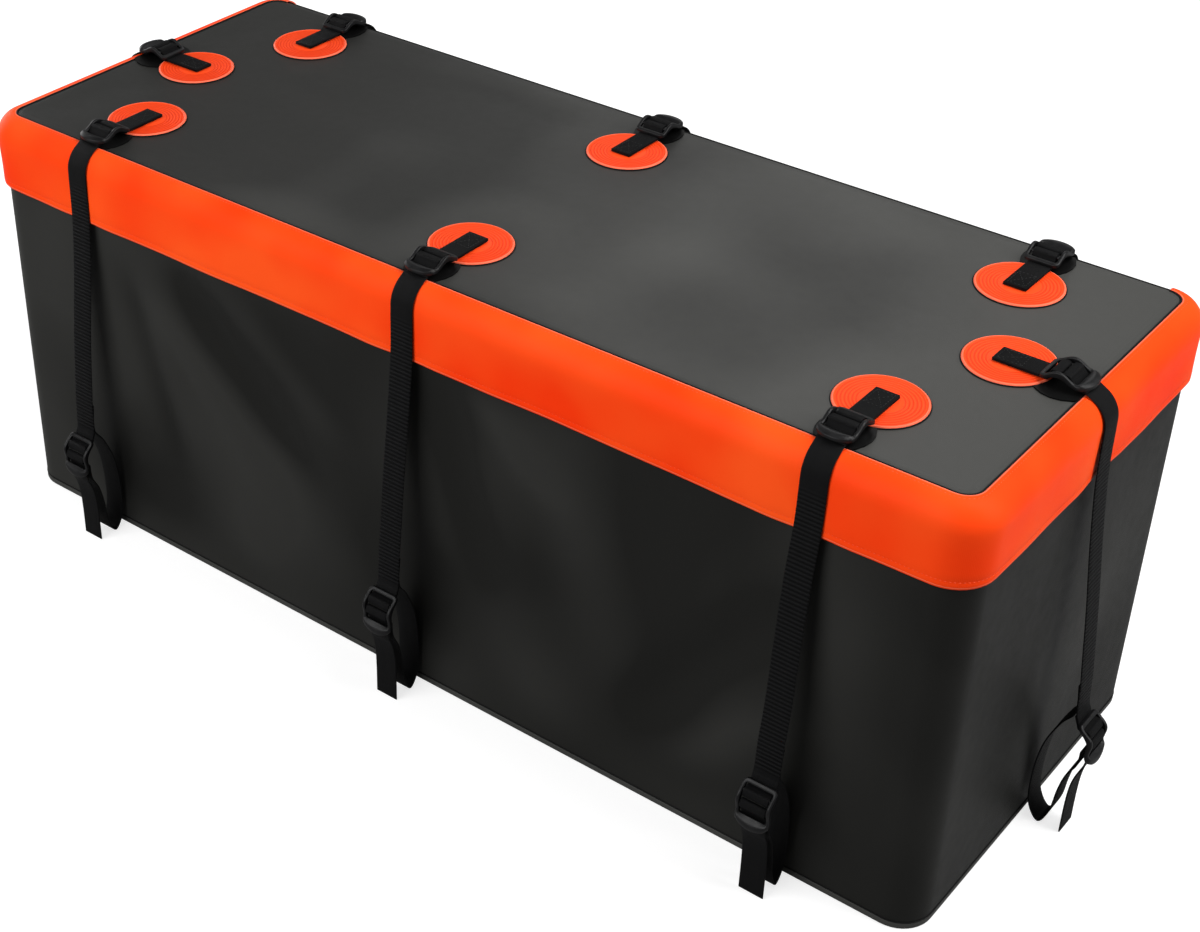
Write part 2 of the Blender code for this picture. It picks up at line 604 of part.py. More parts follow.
def main():
    clear_scene()
    bpy.context.scene.collection.children.link(bag)
    bpy.context.scene.collection.children.link(cutters)
    looks = {
        "body": material("coated_fabric", (0.020, 0.020, 0.018), 0.55),
        "lid": material("lid_fabric", (0.065, 0.065, 0.060), 0.50),
        "orange": material("orange_fabric", (0.900, 0.065, 0.010), 0.45),
        "webbing": material("webbing", (0.006, 0.006, 0.006), 0.80),
        "plastic": material("buckle_plastic", (0.012, 0.012, 0.012), 0.35),
        "pad": material("chafe_pad", (0.005, 0.005, 0.005), 0.50),
        "zip": material("zip_coil", (0.010, 0.010, 0.010), 0.60),
        "metal": material("zip_metal", (0.350, 0.350, 0.350), 0.30, 1.0),
    }
    shell("tub", 0.0, TUB_RIM, True, BOTTOM_RADIUS, BOTTOM_STEPS, looks["body"])
    shell("lid", LID_RIM, HEIGHT, False, TOP_RADIUS, TOP_STEPS, looks["lid"])
    around = (plan_corner(-1, 1, 90) + plan_corner(-1, -1, 180) + plan_corner(1, -1, 270)
              + plan_corner(1, 1, 0))
    add_piece("storm_flap", swept_mesh("storm_flap", around, flap_section()), looks["orange"])
    behind = plan_corner(1, 1, 0) + plan_corner(-1, 1, 90)
    low = ZIP_LEVEL - HINGE_HEIGHT / 2
    high = ZIP_LEVEL + HINGE_HEIGHT / 2
    strip = [(CLEAR, high), (CLEAR + HINGE_THICKNESS, high), (CLEAR + HINGE_THICKNESS, low), (CLEAR, low)]
    add_piece("rear_hinge_strip", swept_mesh("rear_hinge_strip", behind, strip), looks["body"])
    make_zip(looks)
    make_straps(looks)


main()
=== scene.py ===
import itertools
import math

import bmesh
import bpy
from mathutils import Matrix, Vector, noise


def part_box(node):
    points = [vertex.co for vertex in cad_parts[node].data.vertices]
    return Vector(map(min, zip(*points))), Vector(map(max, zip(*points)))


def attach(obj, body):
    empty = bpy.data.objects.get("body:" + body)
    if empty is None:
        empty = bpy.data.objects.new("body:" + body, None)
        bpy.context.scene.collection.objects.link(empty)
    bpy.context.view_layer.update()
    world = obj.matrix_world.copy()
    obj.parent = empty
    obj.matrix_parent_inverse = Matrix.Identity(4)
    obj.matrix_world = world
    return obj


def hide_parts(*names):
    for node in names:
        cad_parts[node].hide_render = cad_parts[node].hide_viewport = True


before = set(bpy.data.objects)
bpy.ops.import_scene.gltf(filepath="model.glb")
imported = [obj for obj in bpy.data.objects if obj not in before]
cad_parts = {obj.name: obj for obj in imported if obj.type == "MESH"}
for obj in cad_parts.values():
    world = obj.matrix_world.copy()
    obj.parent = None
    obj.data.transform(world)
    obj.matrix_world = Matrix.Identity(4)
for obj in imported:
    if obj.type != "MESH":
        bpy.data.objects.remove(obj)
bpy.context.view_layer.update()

# Bag, read from the frame
TUB_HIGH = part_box("tub")[1]
LID_LOW, LID_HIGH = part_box("lid")
FLAP_LOW, FLAP_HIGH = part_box("storm_flap")
HALF_X, HALF_Y, TUB_RIM = TUB_HIGH
LID_RIM, HEIGHT, HEM = LID_LOW.z, LID_HIGH.z, FLAP_LOW.z
ZIP_LEVEL = (TUB_RIM + LID_RIM) / 2
SETS = [node[len("strap_"):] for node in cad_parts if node.startswith("strap_")]
UP = Vector((0.0, 0.0, 1.0))

# Bag, in metres
CORNER_RADIUS = 0.043
TOP_RADIUS = 0.03
BOTTOM_RADIUS = 0.015
FABRIC = 0.002
CLEAR = 0.0003
GRID_SPACING = 0.013
CORNER_LINES = 5
EDGE_STEPS = 8

# Soft waves, as (height, wavelengths along x, y and z, shifts of the noise)
LID_WAVES = ((0.0075, (0.34, 0.26, math.inf), (0.0, 0.0, 3.1)),
             (0.0022, (0.15, 0.13, math.inf), (0.0, 0.0, 8.4)))
TUB_WAVES = ((0.0062, (0.24, 0.24, 0.3), (0.0, 0.0, 0.0)),
             (0.0024, (0.1, 0.1, 0.18), (0.0, 4.0, 0.0)))
FLAP_WAVES = ((0.0034, (0.22, 0.22, math.inf), (0.0, 0.0, 5.2)),
              (0.0018, (0.085, 0.085, 0.2), (0.0, 0.0, 5.2)))
LID_SAG = 0.002
TUB_SLACK = 0.001
FOLD_LIMIT = 0.0042
# How far from the lid's fittings, and from its edges, the cloth goes from still to loose
FITTING_REACH = (-0.16, -0.02)
LOOSE_FROM_FITTING = (0.055, 0.17)
LOOSE_FROM_EDGE = (0.03, 0.11)
# The folds of the front wall, as (start, end, width, rise), the places as (x, z)
FRONT_FOLDS = (
    ((-0.4, 0.47), (-0.16, 0.24), 0.03, -0.0095),
    ((-0.44, 0.42), (-0.22, 0.17), 0.026, 0.005),
    ((-0.32, 0.48), (-0.1, 0.31), 0.026, 0.0036),
    ((-0.5, 0.44), (-0.42, 0.16), 0.024, -0.005),
    ((0.09, 0.5), (0.25, 0.38), 0.028, 0.0044),
    ((0.04, 0.48), (0.13, 0.2), 0.032, -0.008),
    ((0.34, 0.12), (0.56, 0.4), 0.036, -0.0085),
    ((0.4, 0.07), (0.58, 0.25), 0.032, 0.0048),
)
# How much paler the cloth is painted along the bag, as rise for each metre: a painted gradient of light, the
# tub paler towards -x and the lid paler towards +x
TUB_PAINTED_LIGHT_SLOPE = -0.0045
LID_PAINTED_LIGHT_SLOPE = 0.0082

# Storm flap, piping and hinge strip
FLAP_FABRIC = 0.0018
FLAP_OUT = FLAP_HIGH.x - HALF_X
FLAP_STANDOFF = FLAP_OUT - FLAP_FABRIC
SEAM_INSET = 0.02
FLAP_SHOULDER = 0.034
HEM_FOLD = 0.011
HEM_GROOVE = 0.0012
HEM_ROUND = 0.0012
FLAP_SPACING = 0.011
FLAP_PRESS = 0.0008
BESIDE_STRAP = 0.05
PIPING_RADIUS = 0.0015
PIPING_TILT = math.radians(30.0)
SEAM_LINE = 0.0017
# The hinge strip's section at its edges and its middle, as (share of thickness, distance)
STRIP_EDGE = ((0.0, 0.0), (0.7, 0.0), (1.0, 0.0015), (1.0, 0.004), (0.8, 0.005), (1.0, 0.006))
STRIP_MIDDLE = ((0.7, 0.004), (0.55, 0.0), (0.7, -0.004))
STRIP_SEAM = 0.005
# The tape round the tub's bottom edge, as (out, level), pale as a painted highlight of the rounded edge, and
# the dark bead above it, a painted shade line
EDGE_TAPE = ((-0.003, 0.01), (-0.0008, 0.0097), (0.0002, 0.0088), (0.0004, 0.0078), (0.0004, 0.0024),
             (-0.0002, 0.0011), (-0.002, 0.0005), (-0.006, 0.0005), (-0.006, 0.006))
EDGE_BEAD_AT = (-0.0003, 0.0104)
EDGE_BEAD_RADIUS = 0.001

# Patches and pads
DISC_RADIUS = 0.0535
DISC_RIM = 0.0027
DISC_RIM_RISE = 0.0007
DISC_OUTLINE = 0.0014
DISC_TURNS = 72
RINGS_FROM = 0.0255
RING_PITCH = 0.0042
RING_DEPTH = 0.0005
PAD_THICKNESS = 0.0015

# Webbing
WEB_THICKNESS = 0.0018
SELVEDGE = 0.0009
STRAP_WIDTH = 0.034
STRAP_SWAY = 0.0035
ANCHOR_WIDTH = 0.03
ANCHOR_PAST_CENTRE = 0.015
ANCHOR_SEAM_INSET = 0.004
ANCHOR_SEAM_LENGTH = 0.03
RIB_PITCH = 0.0055
RIBS_FADE = (0.53, 0.56)
RIBS_START = (0.182, 0.196)

# Ladder-lock buckle, as in the part
BUCKLE_LENGTH = 0.06
BUCKLE_WIDTH = 0.045
BUCKLE_EDGE = 0.004
BUCKLE_ARCH = 0.009
BUCKLE_UNDERCUT = 0.0066
ARCH_LENGTH = 0.046
LIP_FLARE = 0.0008
END_BAR = 0.0055
LIP_START = 0.044
CORNER_CUT = 0.006
WINDOW_CORNER = 0.0016
RAIL = 0.0045
BAR_RADIUS = 0.0018
BAR_HALF = 0.0022
BAR_HEIGHT = 0.0072
BAR_ROOT = 0.0012
FIXED_BAR_AT = 0.016
GRIP_BAR_AT = 0.0297
TOP_BUCKLE_INSET = 0.0725
LIP_BULGE = 0.62
BUCKLE_SWELL = 0.0009
LIP_DOME = 0.0022
BUCKLE_POINTS = 112
BUCKLE_RINGS = 6

# Rounded edges
MOULDED_EDGE = 0.0013
WORN_EDGE = 0.0002

# Hanging strap, as in the part; its shapes are shares of the lower buckle's place
STRAP_SHOULDER_OUT = 0.002
STRAP_SHOULDER_LIFT = 0.0018
SHOULDER_TURNS = (66, 49, 32, 15)
SMOOTH_STEPS = 6
LOW_BUCKLE_OUT = 0.05
LOW_BUCKLE_TOP = 0.172
LOW_BUCKLE_TILT = math.radians(20.0)
SEWN_LENGTH = 0.034
FOLD_BACK = 0.01
FLOOR_GAP = 0.0006
LOOP_BELOW_BUCKLE = 0.006
TAIL_LEAD = 0.008
HANG_SHAPE = ((0.0, 0.02), (0.04, 0.18), (0.25, 0.38), (0.55, 0.6), (0.82, 0.82))
SEWN_TOP_OUT = 0.9
CROTCH_OUT = 0.97
LOOP_BACK_SHAPE = ((0.57, 0.94), (0.26, 0.71), (0.13, 0.436), (0.16, 0.15))
LOOP_FLOOR_OUT = 0.47
LOOP_FRONT_SHAPE = ((0.71, 0.15), (0.8, 0.35), (0.92, 0.51))
TAIL_SHAPE = ((1.27, 0.628), (1.16, 0.547), (1.08, 0.43), (1.05, 0.262))

# Stitches
STITCH_LENGTH = 0.0032
STITCH_PITCH = 0.005
STITCH_WIDTH = 0.0007
STITCH_RISE = 0.0005
STITCH_DIP = 0.0003

# Values that follow from the ones above
WEB_STEP = WEB_THICKNESS + CLEAR
HUG = WEB_THICKNESS / 2 + CLEAR
WRAP_RADIUS = BAR_RADIUS + HUG
DISC_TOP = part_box("patch_front_mid")[1].z
BUCKLE_SEAT = DISC_TOP + HUG + WEB_STEP + HUG
STRAIGHT_X = HALF_X - CORNER_RADIUS
STRAIGHT_Y = HALF_Y - CORNER_RADIUS

# The orange cloth's own colour; its paler end, reached by painted light on raised folds and cloudy painted
# sheen; and its painted highlight along seam, hem and patch rims
ORANGE = (0.95, 0.04, 0.003)
ORANGE_LIGHT = (1.0, 0.088, 0.011)
ORANGE_PAINTED_HIGHLIGHT = (0.97, 0.165, 0.085)
# Share of its colour range that cloth is painted paler for each metre of rise: painted light on raised folds
# and painted shade in dips
PAINTED_LIGHT_PER_METRE = 55.0

# Camera, worked out from the photograph's 1200 x 932 frame
PHOTO_WIDTH = 1200
FOCAL_PIXELS = 2094.5
PRINCIPAL_X, PRINCIPAL_Y = 459.5, 425.2
CENTRE_X, CENTRE_Y = 600.0, 466.0
CAMERA_AT = (1.4074, -1.9235, 1.8169)
CAMERA_LOOK = (-0.5261, 0.6494, -0.5491)
CAMERA_RIGHT = (0.7769, 0.6296, 0.0)
SENSOR = 36.0

# Studio: each lamp's place, aim, side in metres and power in watts
LAMPS = {
    "overhead": ((1.5, 0.5, 2.8), (0.6, 0.0, 0.5), 1.8, 64.0),
    "front": ((-1.0, -3.4, 2.3), (0.0, 0.0, 0.3), 3.2, 143.0),
    "right_end": ((3.4, 0.9, 1.9), (0.6, 0.0, 0.3), 2.0, 64.0),
    "left_end": ((-3.6, 0.3, 0.9), (-0.7, 0.0, 0.3), 2.0, 46.0),
    "back_sheen": ((-1.1, 2.5, 2.5), (0.2, 0.0, 0.6), 1.6, 11.0),
}
WORLD_STRENGTH = 0.15
# Glossy rays see this share of the white background
GLOSSY_SHARE = 0.15
FLOOR_LEVEL = -0.0004
FLOOR_HALF = 12.0
# The floor's glow, near and far, and these two distances
FLOOR_GLOW = (0.74, 1.0)
FLOOR_GLOW_AT = (1.2, 3.5)


def smoothstep(low, high, value):
    """0 below low, 1 above high, and a smooth rise between."""
    t = min(max((value - low) / (high - low), 0.0), 1.0)
    return t * t * (3 - 2 * t)


def bell(distance, width):
    """1 at no distance, fading to 0 over a few widths."""
    return math.exp(-(distance / width) ** 2)


def waves(point, table):
    """The sum of a table's soft waves at a point."""
    total = 0.0
    for height, lengths, shifts in table:
        spot = [c / length + shift for c, length, shift in zip(point, lengths, shifts)]
        total += height * noise.noise(Vector(spot))
    return total


def arc(centre, radius, start, end, steps):
    """Points on an arc, angles in degrees."""
    turns = [math.radians(start + (end - start) * k / steps) for k in range(steps + 1)]
    return [(centre[0] + radius * math.cos(a), centre[1] + radius * math.sin(a)) for a in turns]


def bead(centre, radius):
    """The closed section of a round bead."""
    return arc(centre, radius, 0, 315, 7)


def smooth(points):
    """A Catmull-Rom curve through the points."""
    ends = [points[0]] + list(points) + [points[-1]]
    line = []
    for a, b, c, d in zip(ends, ends[1:], ends[2:], ends[3:]):
        for k in range(SMOOTH_STEPS):
            t = k / SMOOTH_STEPS
            line.append(tuple(
                0.5 * (2 * b[i] + (c[i] - a[i]) * t + (2 * a[i] - 5 * b[i] + 4 * c[i] - d[i]) * t * t
                       + (3 * b[i] - a[i] - 3 * c[i] + d[i]) * t * t * t) for i in (0, 1)))
    return line + [tuple(points[-1])]


def beside(line, distance):
    """The line moved sideways, to the left of its travel for a positive distance."""
    points = [Vector(point) for point in line]
    ways = [(there - here).normalized() for here, there in zip(points, points[1:])]
    moved = []
    for here, into, out in zip(points, ways[:1] + ways, ways + ways[-1:]):
        tangent = (into + out).normalized()
        reach = distance / max(tangent.dot(into), 0.5)
        moved.append((here.x - tangent.y * reach, here.y + tangent.x * reach))
    return moved


def lengths_along(points, closed=False):
    """The length so far at each point of a line, and back at its start where it closes."""
    points = list(points) + ([points[0]] if closed else [])
    return list(itertools.accumulate(map(math.dist, points, points[1:]), initial=0.0))


def path_length(points):
    """Length of a line of points."""
    return lengths_along(points)[-1]


# Pieces

def new_mesh(name, work, material):
    """A smooth mesh from a bmesh, with its material."""
    bmesh.ops.recalc_face_normals(work, faces=work.faces)
    mesh = bpy.data.meshes.new(name)
    work.to_mesh(mesh)
    work.free()
    mesh.polygons.foreach_set("use_smooth", [True] * len(mesh.polygons))
    mesh.materials.append(material)
    return mesh


def new_object(name, data):
    """An object in the scene."""
    made = bpy.data.objects.new(name, data)
    bpy.context.scene.collection.objects.link(made)
    return made


def new_piece(name, work, look):
    """One visible piece from a bmesh, with its look."""
    return new_object(name, new_mesh(name, work, look))


def dress(piece, slot, *nodes):
    """Put a finished piece on the bag's body, in place of its CAD nodes."""
    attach(piece, "bag")
    if nodes:
        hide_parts(*nodes)
    return piece


def round_edges(piece, width, segments, sharp=30.0):
    """Rounded edges where faces meet at more than so many degrees."""
    edge = piece.modifiers.new("rounded_edge", "BEVEL")
    edge.width = width
    edge.segments = segments
    edge.limit_method = "ANGLE"
    edge.angle_limit = math.radians(sharp)


def cloth_layer(work):
    """The layer that holds each corner's place on the flat cloth."""
    layers = work.loops.layers.uv
    return layers.get("UVMap") or layers.new("UVMap")


def skin(work, rows, places=None, closed_rows=False, closed_row=True, capped=False):
    """Quads between rows of vertices, with each vertex's place on the cloth as its texture point."""
    layer = cloth_layer(work)
    for r, near in enumerate(rows if closed_rows else rows[:-1]):
        far = rows[(r + 1) % len(rows)]
        for k in range(len(near) if closed_row else len(near) - 1):
            n = (k + 1) % len(near)
            face = work.faces.new((near[k], near[n], far[n], far[k]))
            if places:
                spots = (places[r][k], places[r][k + 1], places[r + 1][k + 1], places[r + 1][k])
                for loop, spot in zip(face.loops, spots):
                    loop[layer].uv = spot
    if capped:
        work.faces.new(rows[0])
        work.faces.new(rows[-1][::-1])


# Bag shells

def panel_lines(straight, flat_radius):
    """Grid lines across a panel: even over its straight part, then closing up round each corner."""
    count = round(2 * straight / GRID_SPACING)
    even = [-straight + 2 * straight * k / count for k in range(count + 1)]
    turn = [straight + flat_radius * math.sin(math.pi / 4 * k / CORNER_LINES)
            for k in range(1, CORNER_LINES + 1)]
    return [-at for at in turn[::-1]] + even + turn


def zone(index, count):
    """How far a grid line is into a rounded corner: 0 on the straight part, signed beyond it."""
    return min(index - CORNER_LINES, 0) + max(index - (count - 1 - CORNER_LINES), 0)


def border_station(i, j, xs, ys):
    """A border point of a panel: its core point on the straight part and its outward direction."""
    into_x, into_y = zone(i, len(xs)), zone(j, len(ys))
    core = Vector((max(-STRAIGHT_X, min(STRAIGHT_X, xs[i])), max(-STRAIGHT_Y, min(STRAIGHT_Y, ys[j]))))
    long_side = j in (0, len(ys) - 1)
    angle = math.pi / 4 * abs(into_x if long_side else into_y) / CORNER_LINES
    along, out = math.sin(angle), math.cos(angle)
    reach_x, reach_y = (along, out) if long_side else (out, along)
    return core, Vector((math.copysign(reach_x, into_x), math.copysign(reach_y, into_y)))


def shell(name, profile, look, give, fade):
    """A soft shell: a flat panel and walls that follow a profile of (inset, level) from its border.

    give(point, normal) is how far the cloth stands off its even shape. The attribute "rise" carries
    that to the material, with a change of fade for each metre along the bag, and the material paints it as
    light: paler on raised folds, darker in dips.
    """
    inset, level = profile[0]
    xs = panel_lines(STRAIGHT_X, CORNER_RADIUS - inset)
    ys = panel_lines(STRAIGHT_Y, CORNER_RADIUS - inset)
    nx, ny = len(xs), len(ys)
    border = [(i, 0) for i in range(nx - 1)] + [(nx - 1, j) for j in range(ny - 1)]
    border += [(nx - 1 - i, ny - 1 - j) for i, j in border]
    stations = {spot: border_station(*spot, xs, ys) for spot in border}
    work = bmesh.new()

    def on_border(spot, inset_here, level_here):
        core, out = stations[spot]
        flat = core + out * (CORNER_RADIUS - inset_here)
        return work.verts.new((flat.x, flat.y, level_here))
    grid = [[on_border((i, j), inset, level) if (i, j) in stations else work.verts.new((x, y, level))
             for i, x in enumerate(xs)] for j, y in enumerate(ys)]
    skin(work, grid, [[(x, y) for x in xs] for y in ys], closed_row=False)
    rings = [[grid[j][i] for i, j in border]]
    rings += [[on_border(spot, *here) for spot in border] for here in profile[1:]]
    around = lengths_along([core + out * CORNER_RADIUS for core, out in stations.values()], closed=True)
    skin(work, rings, [[(u, v) for u in around] for v in lengths_along(profile)])
    bmesh.ops.recalc_face_normals(work, faces=work.faces)
    work.normal_update()
    rise = work.verts.layers.float.new("rise")
    for vertex in work.verts:
        move = give(vertex.co, vertex.normal)
        vertex.co += vertex.normal * move
        # Painted light: the material paints the cloth paler where this is higher and darker where it is
        # lower
        vertex[rise] = move + fade * vertex.co.x
    piece = new_piece(name, work, look)
    wall = piece.modifiers.new("wall", "SOLIDIFY")
    wall.thickness = FABRIC
    wall.offset = -1.0
    return piece


def rounded_profile(edge, radius, rim):
    """(inset, level) from a flat panel at level edge, round its edge and along the wall to the rim."""
    sign = 1 if rim > edge else -1
    turn = [(radius * (1 - math.sin(a)), edge + sign * radius * (1 - math.cos(a)))
            for a in [math.pi / 2 * k / EDGE_STEPS for k in range(EDGE_STEPS + 1)]]
    start = edge + sign * radius
    count = max(1, round(abs(rim - start) / GRID_SPACING))
    return turn + [(0.0, start + (rim - start) * k / count) for k in range(1, count + 1)]


def clear_of_fittings(point):
    """0 close to a patch, pad or buckle on the lid, where the cloth stays put, and 1 away from them."""
    closest = 1.0
    for frame_of in strap_frames.values():
        inward = frame_of.inverted() @ point
        along = min(max(inward.x, FITTING_REACH[0]), FITTING_REACH[1])
        closest = min(closest, math.hypot(inward.x - along, inward.z))
    return smoothstep(*LOOSE_FROM_FITTING, closest)


def lid_give(point, normal):
    """Long soft waves in the lid, which lies still under its fittings and along its edges."""
    inner = smoothstep(*LOOSE_FROM_EDGE, min(HALF_X - abs(point.x), HALF_Y - abs(point.y)))
    sag = LID_SAG * (1 - (point.y / HALF_Y) ** 2)
    top = smoothstep(0.5, 0.9, normal.z)
    return top * inner * clear_of_fittings(point) * (waves(point, LID_WAVES) - sag)


def fold_depth(spot, start, end, width, depth):
    """The rise or dip of one soft fold, a line on the wall that fades out at both ends."""
    start, end = Vector(start), Vector(end)
    line = end - start
    along = (spot - start).dot(line) / line.length_squared
    off = abs((spot - start).cross(line)) / line.length
    fade = smoothstep(-0.15, 0.25, along) * (1 - smoothstep(0.65, 1.15, along))
    return depth * fade * bell(off, width)


def tub_give(point, normal):
    """Waves and folds in the walls, fading towards the rim, the floor and the upright corners."""
    wall = 1 - smoothstep(0.3, 0.8, abs(normal.z))
    rise = smoothstep(0.01, 0.09, point.z) * (1 - smoothstep(TUB_RIM - 0.06, TUB_RIM - 0.01, point.z))
    across, reach = (point.x, STRAIGHT_X) if abs(normal.y) > abs(normal.x) else (point.y, STRAIGHT_Y)
    give = (1 - smoothstep(reach - 0.12, reach, abs(across))) * (waves(point, TUB_WAVES) - TUB_SLACK)
    if abs(normal.y) > 0.7:
        spot = Vector((point.x * -math.copysign(1.0, normal.y), point.z))
        give += sum(fold_depth(spot, *fold) for fold in FRONT_FOLDS)
    return wall * rise * min(give, FOLD_LIMIT)


def make_shells():
    """The tub, and the lid that rests on it."""
    for node, edge, radius, rim, give, fade in (("tub", 0.0, BOTTOM_RADIUS, TUB_RIM, tub_give, TUB_PAINTED_LIGHT_SLOPE),
                                                ("lid", HEIGHT, TOP_RADIUS, LID_RIM, lid_give, LID_PAINTED_LIGHT_SLOPE)):
        piece = shell(node + "_cloth", rounded_profile(edge, radius, rim), looks[node], give, fade)
        dress(piece, node + "_fabric", node)


# Storm flap and what runs beside it

def wall_run(rear=False):
    """Stations round the front and both ends, or along the rear: (core point, outward direction, length)."""
    def corner(side_x, side_y, start):
        turns = [math.radians(start + 90 * k / (2 * CORNER_LINES)) for k in range(2 * CORNER_LINES + 1)]
        core = Vector((side_x * STRAIGHT_X, side_y * STRAIGHT_Y))
        return [(core, Vector((math.cos(a), math.sin(a)))) for a in turns]
    back_left, back_right = corner(-1, 1, 90), corner(1, 1, 0)
    runs = [back_right, back_left]
    if not rear:
        runs = [back_left, corner(-1, -1, 180), corner(1, -1, 270), back_right]
    stations = runs[0]
    for run in runs[1:]:
        (start, out), end = stations[-1], run[0][0]
        count = round((end - start).length / FLAP_SPACING)
        stations += [(start.lerp(end, k / count), out) for k in range(1, count)] + run
    lengths = lengths_along([core + out * CORNER_RADIUS for core, out in stations])
    return [(core, out, length) for (core, out), length in zip(stations, lengths)]


def rear_straight():
    """The stations of the rear run between its corners."""
    return wall_run(rear=True)[2 * CORNER_LINES:-2 * CORNER_LINES]


def at_wall(station, out, level):
    """A point at a distance out from the wall, at a level."""
    flat = station[0] + station[1] * (CORNER_RADIUS + out)
    return Vector((flat.x, flat.y, level))


def flap_hang(point):
    """How far the flap stands off its even shape: loose at the hem, pressed in under the straps."""
    loose_part = smoothstep(0.0, 0.075, HEIGHT - 0.012 - point.z)
    spots = [frame_of.inverted() @ Vector((point.x, point.y, 0.0)) for frame_of in strap_frames.values()]
    gap = min((spot.z for spot in spots if abs(spot.x) < 0.06), key=abs, default=1.0)
    puffed = bell(gap - BESIDE_STRAP, 0.022) + bell(gap + BESIDE_STRAP, 0.022) - bell(gap, 0.024)
    below_edge = smoothstep(0.0, 0.02, HEIGHT - point.z)
    return loose_part * waves(point, FLAP_WAVES) + below_edge * FLAP_PRESS * puffed


def flap_section():
    """The flap's closed section of (out, level): seam, shoulder, face, folded hem and back."""
    seam = (-SEAM_INSET, HEIGHT - FLAP_SHOULDER)
    lid_drop = TOP_RADIUS - math.sqrt(TOP_RADIUS ** 2 - (TOP_RADIUS - SEAM_INSET) ** 2)
    rise = FLAP_SHOULDER - lid_drop + CLEAR
    reach = SEAM_INSET + FLAP_STANDOFF
    turns = [math.pi / 2 * (1 - k / (2 * EDGE_STEPS)) for k in range(2 * EDGE_STEPS + 1)]

    def shoulder(extra):
        return [(seam[0] + (reach + extra) * math.cos(a), seam[1] + (rise + extra) * math.sin(a))
                for a in turns]
    face = FLAP_STANDOFF + FLAP_FABRIC
    fold = HEM + HEM_FOLD
    fall = [seam[1] + (fold - seam[1]) * k / 6 for k in range(1, 7)]
    outer = shoulder(FLAP_FABRIC) + [(face, z) for z in fall]
    outer += [(face - FLAP_FABRIC / 5, fold - HEM_GROOVE), (face, fold - 2 * HEM_GROOVE),
              (face, HEM + 0.004), (face - FLAP_FABRIC / 9, HEM + HEM_ROUND), (face - FLAP_FABRIC / 2, HEM)]
    thick = FLAP_STANDOFF - FLAP_FABRIC / 2
    inner = [(thick + FLAP_FABRIC / 3, HEM), (thick, HEM + HEM_ROUND), (thick, fold - 0.0014)]
    inner += [(FLAP_STANDOFF, fold)] + [(FLAP_STANDOFF, z) for z in fall[-2::-1]]
    return outer, inner + shoulder(0.0)[::-1]


def sweep(name, stations, section, look, give=lambda point: 0.0):
    """A closed section carried along the walls, capped at both ends."""
    work = bmesh.new()
    rise = work.verts.layers.float.new("rise")
    rows = []
    for station in stations:
        row = []
        for out, level in section:
            shift = give(at_wall(station, 0.0, level))
            row.append(work.verts.new(at_wall(station, out + shift, level)))
            # Painted light: the material paints the cloth paler where it stands out and darker where it is
            # pressed in, as painted shade beside the straps
            row[-1][rise] = shift
        rows.append(row)
    around = lengths_along(section, closed=True)
    skin(work, rows, [[(station[2], a) for a in around] for station in stations], capped=True)
    return new_piece(name, work, look)


def trim(name, stations, section, look="binding"):
    """A narrow binding, bead or tape along the walls."""
    dress(sweep(name, stations, section, looks[look]), "tub_fabric")


def make_flap():
    """The storm flap, its piping on the lid and its rows of stitches."""
    stations = wall_run()
    outer, inner = flap_section()
    cloth = flap_fabric(path_length(outer)).material
    flap = sweep("storm_flap_cloth", stations, outer + inner, cloth, flap_hang)
    dress(flap, "orange_fabric", "storm_flap")
    seam_out, seam_level = outer[0]
    beside_seam = (seam_out - PIPING_RADIUS * 1.1, seam_level - FLAP_FABRIC * 2 / 3)
    trim("lid_piping", stations, bead(beside_seam, PIPING_RADIUS))
    edge = (-TOP_RADIUS * (1 - math.sin(PIPING_TILT)), HEIGHT - TOP_RADIUS * (1 - math.cos(PIPING_TILT)))
    trim("rear_piping", rear_straight(), bead(edge, PIPING_RADIUS))
    fold = HEM + HEM_FOLD
    hem_row = [at_wall(s, FLAP_OUT + flap_hang(at_wall(s, 0.0, fold)), fold - HEM_GROOVE) for s in stations]
    seam_row = [at_wall(s, *outer[2]) for s in stations]
    stitch("storm_flap_stitches", "orange_thread", "orange_fabric",
           (hem_row, [s[1].to_3d() for s in stations]), (seam_row, [UP] * len(stations)))


def make_bottom_edge():
    """The tape sewn round the tub's bottom edge, pale as a painted highlight of the rounded edge, under a
    dark bead that paints the shade line above it.
    """
    for place, stations in (("", wall_run()), ("_rear", rear_straight())):
        trim("bottom_tape" + place, stations, EDGE_TAPE, "edge_tape")
        trim("bottom_piping" + place, stations, bead(EDGE_BEAD_AT, EDGE_BEAD_RADIUS))


def make_hinge_strip():
    """The sewn fabric strip that hinges the lid along the rear wall."""
    low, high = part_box("rear_hinge_strip")
    thick = high.y - HALF_Y - CLEAR
    section = [(share, high.z - down) for share, down in STRIP_EDGE]
    section += [(share, ZIP_LEVEL + up) for share, up in STRIP_MIDDLE]
    section += [(share, low.z + up) for share, up in STRIP_EDGE[::-1]]
    stations = wall_run(rear=True)
    strip = sweep("hinge_strip_cloth", stations, [(CLEAR + thick * share, z) for share, z in section],
                  looks["binding"])
    dress(strip, "tub_fabric", "rear_hinge_strip")
    normals = [s[1].to_3d() for s in stations]
    stitch("hinge_strip_stitches", "black_thread", "tub_fabric",
           *[([at_wall(s, CLEAR + thick * 0.85, level) for s in stations], normals)
             for level in (high.z - STRIP_SEAM, low.z + STRIP_SEAM)])


# Stitches

